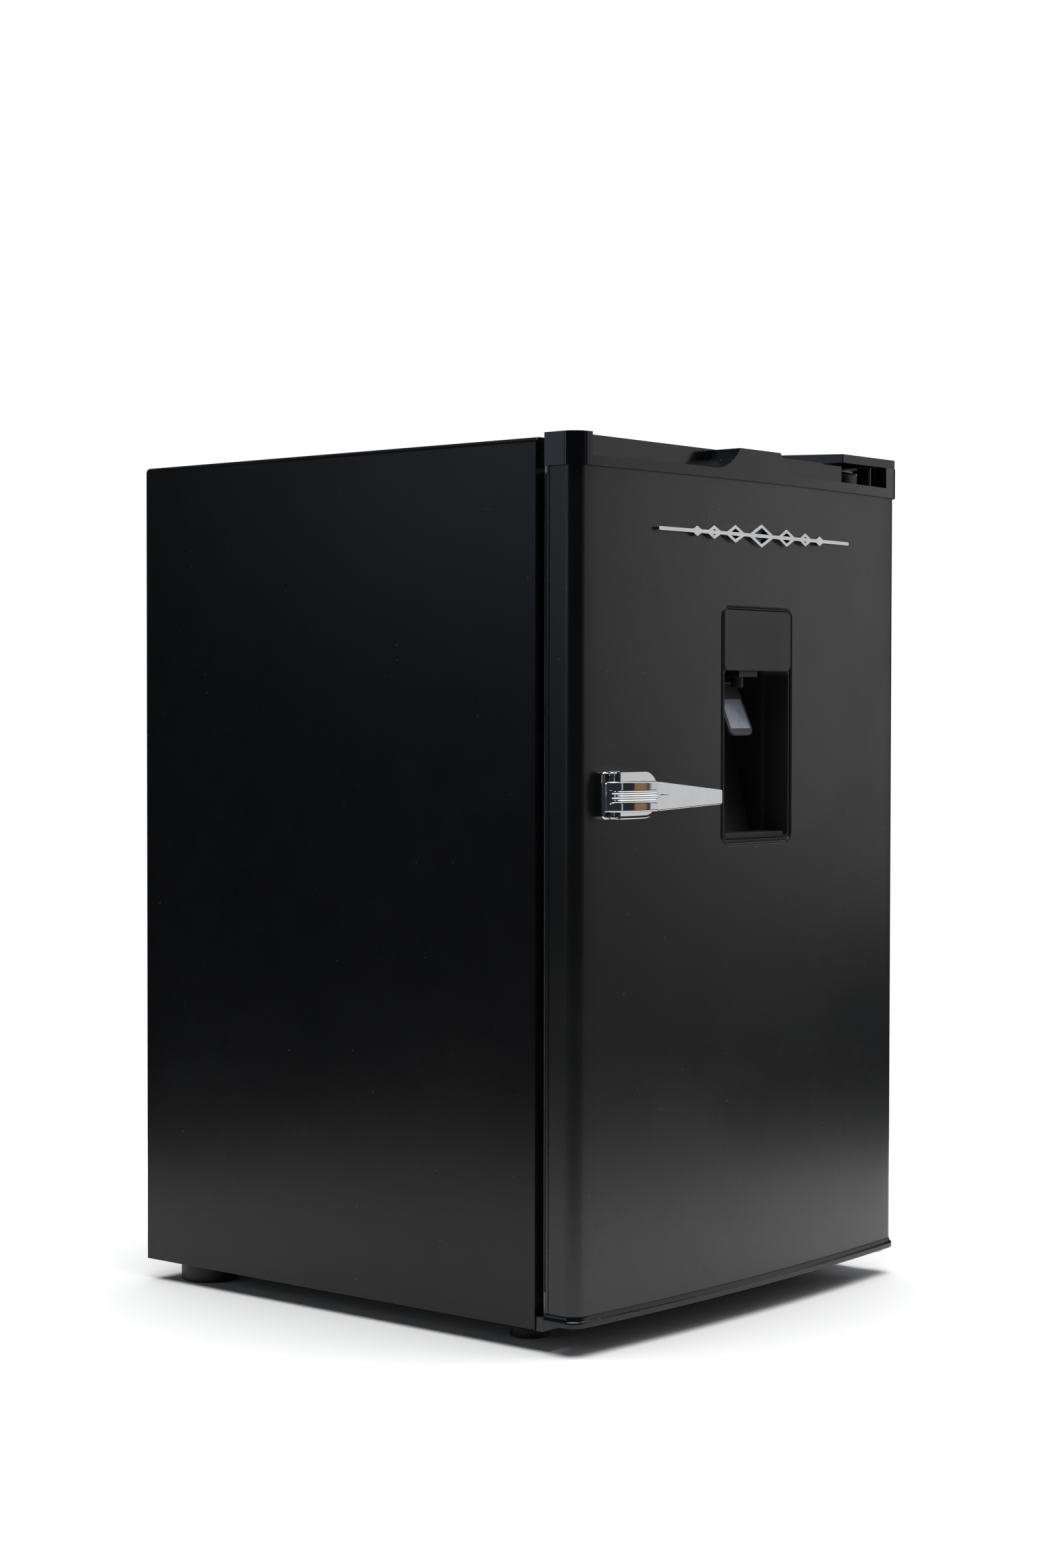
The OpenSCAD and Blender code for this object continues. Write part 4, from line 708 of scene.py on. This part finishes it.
def make_gasket():
    """The door seal, with its magnet bulb and side lips."""
    lo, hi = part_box("door_gasket")
    y0, y1 = lo.y, hi.y
    w = 15 * MM
    mid = (y0 + y1) / 2
    prof = [(0.2 * MM, y1), (1.2 * MM, y1), (w - 1.2 * MM, y1), (w - 0.2 * MM, y1 - 0.8 * MM),
            (w - 0.2 * MM, y1 - 3.4 * MM), (w - 1.4 * MM, y1 - 4.2 * MM), (w - 3.2 * MM, mid),
            (w - 3.2 * MM, mid - 0.5 * MM), (w - 0.8 * MM, mid - 1.6 * MM),
            (w - 0.2 * MM, y0 + 1.6 * MM), (w - 0.2 * MM, y0 + 0.1 * MM),
            (0.2 * MM, y0 + 0.1 * MM), (0.2 * MM, y0 + 1.6 * MM), (0.8 * MM, mid - 1.6 * MM),
            (3.2 * MM, mid - 0.5 * MM), (3.2 * MM, mid), (1.4 * MM, y1 - 4.2 * MM), (0.2 * MM, y1 - 3.4 * MM)]
    ob = picture_frame("seal", lo.x, hi.x, lo.z, hi.z, prof)
    return keep(ob, "door", ("door_gasket",), angle=35)


make_gasket()

# ---------------------------------------------------------------- cabinet

# Node, edge radius in mm and bevel segments, for the cabinet and the small parts
EDGES = (
    ("cabinet_shell", 0.45, 3), ("cabinet_liner", 1.6, 3), ("front_rail", 0.5, 2),
    ("hinge_cover", 1.2, 3), ("top_hinge", 0.6, 2), ("bottom_hinge", 0.6, 2), ("back_panel", 0.3, 2),
    ("base_pan", 0.4, 2), ("freezer_box", 0.8, 2), ("freezer_supports", 0.8, 2),
    ("freezer_frame", 0.6, 2), ("freezer_flap", 1.0, 3), ("chill_tray", 1.0, 3),
    ("thermostat_housing", 2.5, 4), ("shelf_lower", 1.0, 3), ("shelf_upper", 1.0, 3),
    ("condenser_brackets", 1.0, 2), ("drip_pan", 0.8, 2), ("terminal_cover", 0.9, 3),
    ("cord_gland", 0.8, 3), ("compressor", 1.2, 2), ("compressor_grommets", 1.2, 3),
    ("filter_drier", 1.0, 3), ("drain_tube", 0.3, 2), ("valve_stem", 0.4, 2), ("hinge_screws", 0.8, 2),
    ("rear_feet", 2.0, 3),
)
# Painted shade: the front rail is drawn in black_paint instead of its own slot, darker, to stand for the
# shade in the gap between cabinet and door where it shows
PAINTED_SHADE_SLOT = {"front_rail": "black_paint"}
CONVEX_RIMS = ("hinge_cover", "chill_tray")

for node, radius, segments in EDGES:
    soften(node, radius * MM, segments, slot=PAINTED_SHADE_SLOT.get(node), split=node in CONVEX_RIMS)
paint("cabinet_foam")
paint("door_foam")


# ---------------------------------------------------------------- refrigeration pipes

PIPE_R, SUCTION_R, SENSOR_R, CAPILLARY_R, ROD_R = 2.4 * MM, 3 * MM, 1.2 * MM, 1.1 * MM, 0.8 * MM
COIL_W, COIL_H, COIL_RUNS, ROD_COUNT = 370 * MM, 460 * MM, 13, 19


def centre_box(node, r):
    """A tube node's box drawn in to its centre lines."""
    lo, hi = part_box(node)
    e = Vector((r, r, r)) * 1.03
    return lo + e, hi - e


def make_coil():
    """The condenser's coil and the rods welded across it."""
    lo, hi = centre_box("condenser_tube", PIPE_R)
    drier_lo, drier_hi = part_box("filter_drier")
    dx = (drier_lo.x + drier_hi.x) / 2
    y = hi.y
    z0 = hi.z - COIL_H
    right = lo.x + COIL_W
    pts = []
    for i in range(COIL_RUNS):
        z = z0 + (hi.z - z0) * i / (COIL_RUNS - 1)
        a, b = (lo.x, right) if i % 2 == 0 else (right, lo.x)
        pts += [(a, y, z), (b, y, z)]
    drop = 14 * MM
    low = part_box("condenser_tube")[0].z + drop
    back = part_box("back_panel")[1].y - drop
    pts = pts[:-1] + [(hi.x, y, hi.z), (hi.x, y, low), (hi.x, back, low), (dx, back, low), (dx, lo.y, low),
                      (dx, lo.y, low - drop)]
    ob = tube("coil", fillet(pts, 11 * MM, 6), PIPE_R, 12)
    keep(ob, "cabinet", ("condenser_tube",), angle=40)
    w_lo, w_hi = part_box("condenser_wires")
    rods = []
    for i in range(ROD_COUNT):
        x = w_lo.x + ROD_R + (w_hi.x - w_lo.x - 2 * ROD_R) * i / (ROD_COUNT - 1)
        for yy in (w_lo.y + ROD_R, w_hi.y - ROD_R):
            z_lo, z_hi = w_lo.z + (i % 2) * 0.6 * MM, w_hi.z - (i % 3) * 0.5 * MM
            rods.append(tube("rod", [(x, yy, z_lo), (x, yy, z_hi)], ROD_R, 8))
    keep(join("coil_wires", rods), "cabinet", ("condenser_wires",), angle=40)


def make_pipes():
    """Discharge, suction, capillary and sensor tubes."""
    lo, hi = centre_box("discharge_tube", PIPE_R)
    cl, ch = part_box("compressor")
    comp_y = (cl.y + ch.y) / 2
    coil_lo = centre_box("condenser_tube", PIPE_R)[0]
    start, stub = (cl.x + ch.x) / 2 - 60 * MM, 22 * MM
    z0, z1 = lo.z, hi.z
    path = [(start, comp_y, z0), (start - stub, comp_y, z0), (start - stub, hi.y, z0), (lo.x, hi.y, z0),
            (lo.x, hi.y, z1), (coil_lo.x, hi.y, z1)]
    keep(tube("discharge", fillet(path, 12 * MM), PIPE_R, 12), "cabinet", ("discharge_tube",), angle=40)
    s_lo, s_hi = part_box("suction_tube")
    a = math.radians(60)
    cx, cy = (cl.x + ch.x) / 2, comp_y
    shell_r, bend_r = 61 * MM, 74 * MM
    px, py = cx + bend_r * math.cos(a), cy + bend_r * math.sin(a)
    z = s_lo.z + SUCTION_R * 1.03
    path = [(cx + shell_r * math.cos(a), cy + shell_r * math.sin(a), z), (px, py, z), (px, py, s_hi.z)]
    keep(tube("suction", fillet(path, 9 * MM), SUCTION_R, 14), "cabinet", ("suction_tube",), angle=40)
    d_lo, d_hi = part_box("filter_drier")
    dx, dy, dz = (d_lo.x + d_hi.x) / 2, (d_lo.y + d_hi.y) / 2, d_lo.z
    loop, turns, per_turn, sink = 22 * MM, 4, 28, 1.702 * MM
    path = [(dx, dy, dz), (dx, dy, dz - 8 * MM), (dx + loop * 0.6, dy, dz - 14.5 * MM)]
    for i in range(turns * per_turn + per_turn // 2 + 1):
        t = 2 * math.pi * i / per_turn
        drop = 16 * MM + sink * t / (2 * math.pi)
        path.append((dx + loop * math.cos(t), dy + loop * math.sin(t), dz - drop))
    end = path[-1]
    path += [(end[0] - 4 * MM, end[1], dz - 8 * MM), (px + 30 * MM, py, dz + 60 * MM)]
    path.append((px + 4.7 * MM, py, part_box("capillary_tube")[1].z - 1.4 * MM))
    keep(tube("capillary", path, CAPILLARY_R, 8), "cabinet", ("capillary_tube",), angle=40)
    t_lo, t_hi = centre_box("sensor_tube", SENSOR_R)
    zz = (t_lo.z + t_hi.z) / 2
    y0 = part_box("sensor_tube")[0].y
    path = [(t_hi.x, y0, zz), (t_hi.x, y0 + 36 * MM, zz), (t_lo.x, y0 + 48 * MM, zz), (t_lo.x, t_hi.y, zz)]
    keep(tube("sensor", fillet(path, 8 * MM), SENSOR_R, 10), "cabinet", ("sensor_tube",), angle=40)


make_coil()
make_pipes()
for n in ("thermostat_knob", "foot_left", "foot_right"):
    soften(n, 0.9 * MM, 3)


# ---------------------------------------------------------------- stage, lights, camera

def make_stage():
    """The plain pale floor."""
    m = bpy.data.materials.new("stage_white")
    m.use_nodes = True
    p = m.node_tree.nodes["Principled BSDF"]
    p.inputs["Base Color"].default_value = (0.9, 0.9, 0.9, 1)
    p.inputs["Roughness"].default_value = 0.9
    p.inputs["Specular IOR Level"].default_value = 0.1
    n, radius = 96, 0.95
    turn = [2 * math.pi * k / n for k in range(n)]
    ring = [(radius * math.cos(a), radius * math.sin(a), -0.5 * MM) for a in turn]
    floor = blank("floor", ring, [tuple(range(n))])
    floor.data.materials.append(m)


def area(name, where, aim, size, size_y, radiance, colour=(1, 1, 1)):
    """A rectangular light of a given radiance, hidden from the camera."""
    d = bpy.data.lights.new(name, "AREA")
    d.shape = "RECTANGLE"
    d.size, d.size_y = size, size_y
    d.energy = radiance * math.pi * size * size_y
    d.color = colour
    ob = bpy.data.objects.new(name, d)
    ob.location = where
    ob.rotation_mode = "QUATERNION"
    ob.rotation_quaternion = (Vector(aim) - Vector(where)).to_track_quat("-Z", "Y")
    ob.visible_camera = False
    scene.collection.objects.link(ob)
    return ob


def make_lights():
    """Soft top light, a broad key on the door, side windows and a white backdrop."""
    sun = bpy.data.lights.new("top_wash", "SUN")
    sun.energy = 4.4
    sun.angle = math.radians(60)
    ob = bpy.data.objects.new("top_wash", sun)
    ob.location = (0, 0, 4)
    scene.collection.objects.link(ob)
    area("key_right", (3.57, -2.75, 1.62), (-0.1, -0.27, 1.62), 3.0, 3.0, 0.83)
    area("front_fill", (1.64, -2.9, 1.2), (-0.18, -0.27, 0.8), 0.25, 2.2, 0.34, (1.0, 0.52, 0.22))
    area("front_strip", (0.89, -3.29, 1.2), (-0.18, -0.27, 0.8), 0.2, 2.2, 0.55)
    area("top_front", (1.3, -1.8, 2.5), (-0.15, -0.27, 0.5), 1.6, 1.2, 1.6)
    area("window_left", (-2.9, 2.05, 1.35), (-0.24, -0.1, 0.85), 0.8, 1.1, 0.95, (0.76, 0.86, 1.0))
    area("strip_left", (-3.15, 1.15, 1.35), (-0.24, -0.2, 0.85), 0.12, 1.9, 5.0)
    world = bpy.data.worlds.new("studio")
    world.use_nodes = True
    t = world.node_tree
    bg = t.nodes["Background"]
    out = t.nodes["World Output"]
    bg.inputs["Color"].default_value = (0.62, 0.70, 0.86, 1)
    bg.inputs["Strength"].default_value = 0.05
    seen = t.nodes.new("ShaderNodeBackground")
    seen.inputs["Color"].default_value = (1, 1, 1, 1)
    seen.inputs["Strength"].default_value = 1.0
    ray = t.nodes.new("ShaderNodeLightPath")
    mix = t.nodes.new("ShaderNodeMixShader")
    links(t, ray.outputs["Is Camera Ray"], mix.inputs["Fac"])
    links(t, bg.outputs["Background"], mix.inputs[1])
    links(t, seen.outputs["Background"], mix.inputs[2])
    links(t, mix.outputs["Shader"], out.inputs["Surface"])
    scene.world = world
    scene.view_settings.view_transform = "Standard"


CAMERA_ANGLES = (49.863, 1.414, 0.086)   # yaw, pitch and roll in degrees
CAMERA_LENS, CAMERA_SENSOR = 64.18, 36   # mm
CAMERA_FROM_FOOT = Vector((-1.9895, -1.67245, 0.5227))


def make_camera():
    """The camera, placed from the middle of the part's foot."""
    cam = bpy.data.cameras.new("camera")
    cam.sensor_width = CAMERA_SENSOR
    cam.lens = CAMERA_LENS
    ob = bpy.data.objects.new("camera", cam)
    yaw, pitch, roll = (math.radians(a) for a in CAMERA_ANGLES)
    d = Vector((math.sin(yaw) * math.cos(pitch), math.cos(yaw) * math.cos(pitch), -math.sin(pitch)))
    r = d.cross(Vector((0, 0, 1))).normalized()
    u = r.cross(d)
    r2 = r * math.cos(roll) + u * math.sin(roll)
    u2 = u * math.cos(roll) - r * math.sin(roll)
    ob.rotation_mode = "QUATERNION"
    ob.rotation_quaternion = Matrix((r2, u2, -d)).transposed().to_quaternion()
    lo, hi = cad_bounds
    ob.location = Vector(((lo.x + hi.x) / 2, (lo.y + hi.y) / 2, lo.z)) + CAMERA_FROM_FOOT
    scene.collection.objects.link(ob)
    scene.camera = ob


make_stage()
make_lights()
make_camera()
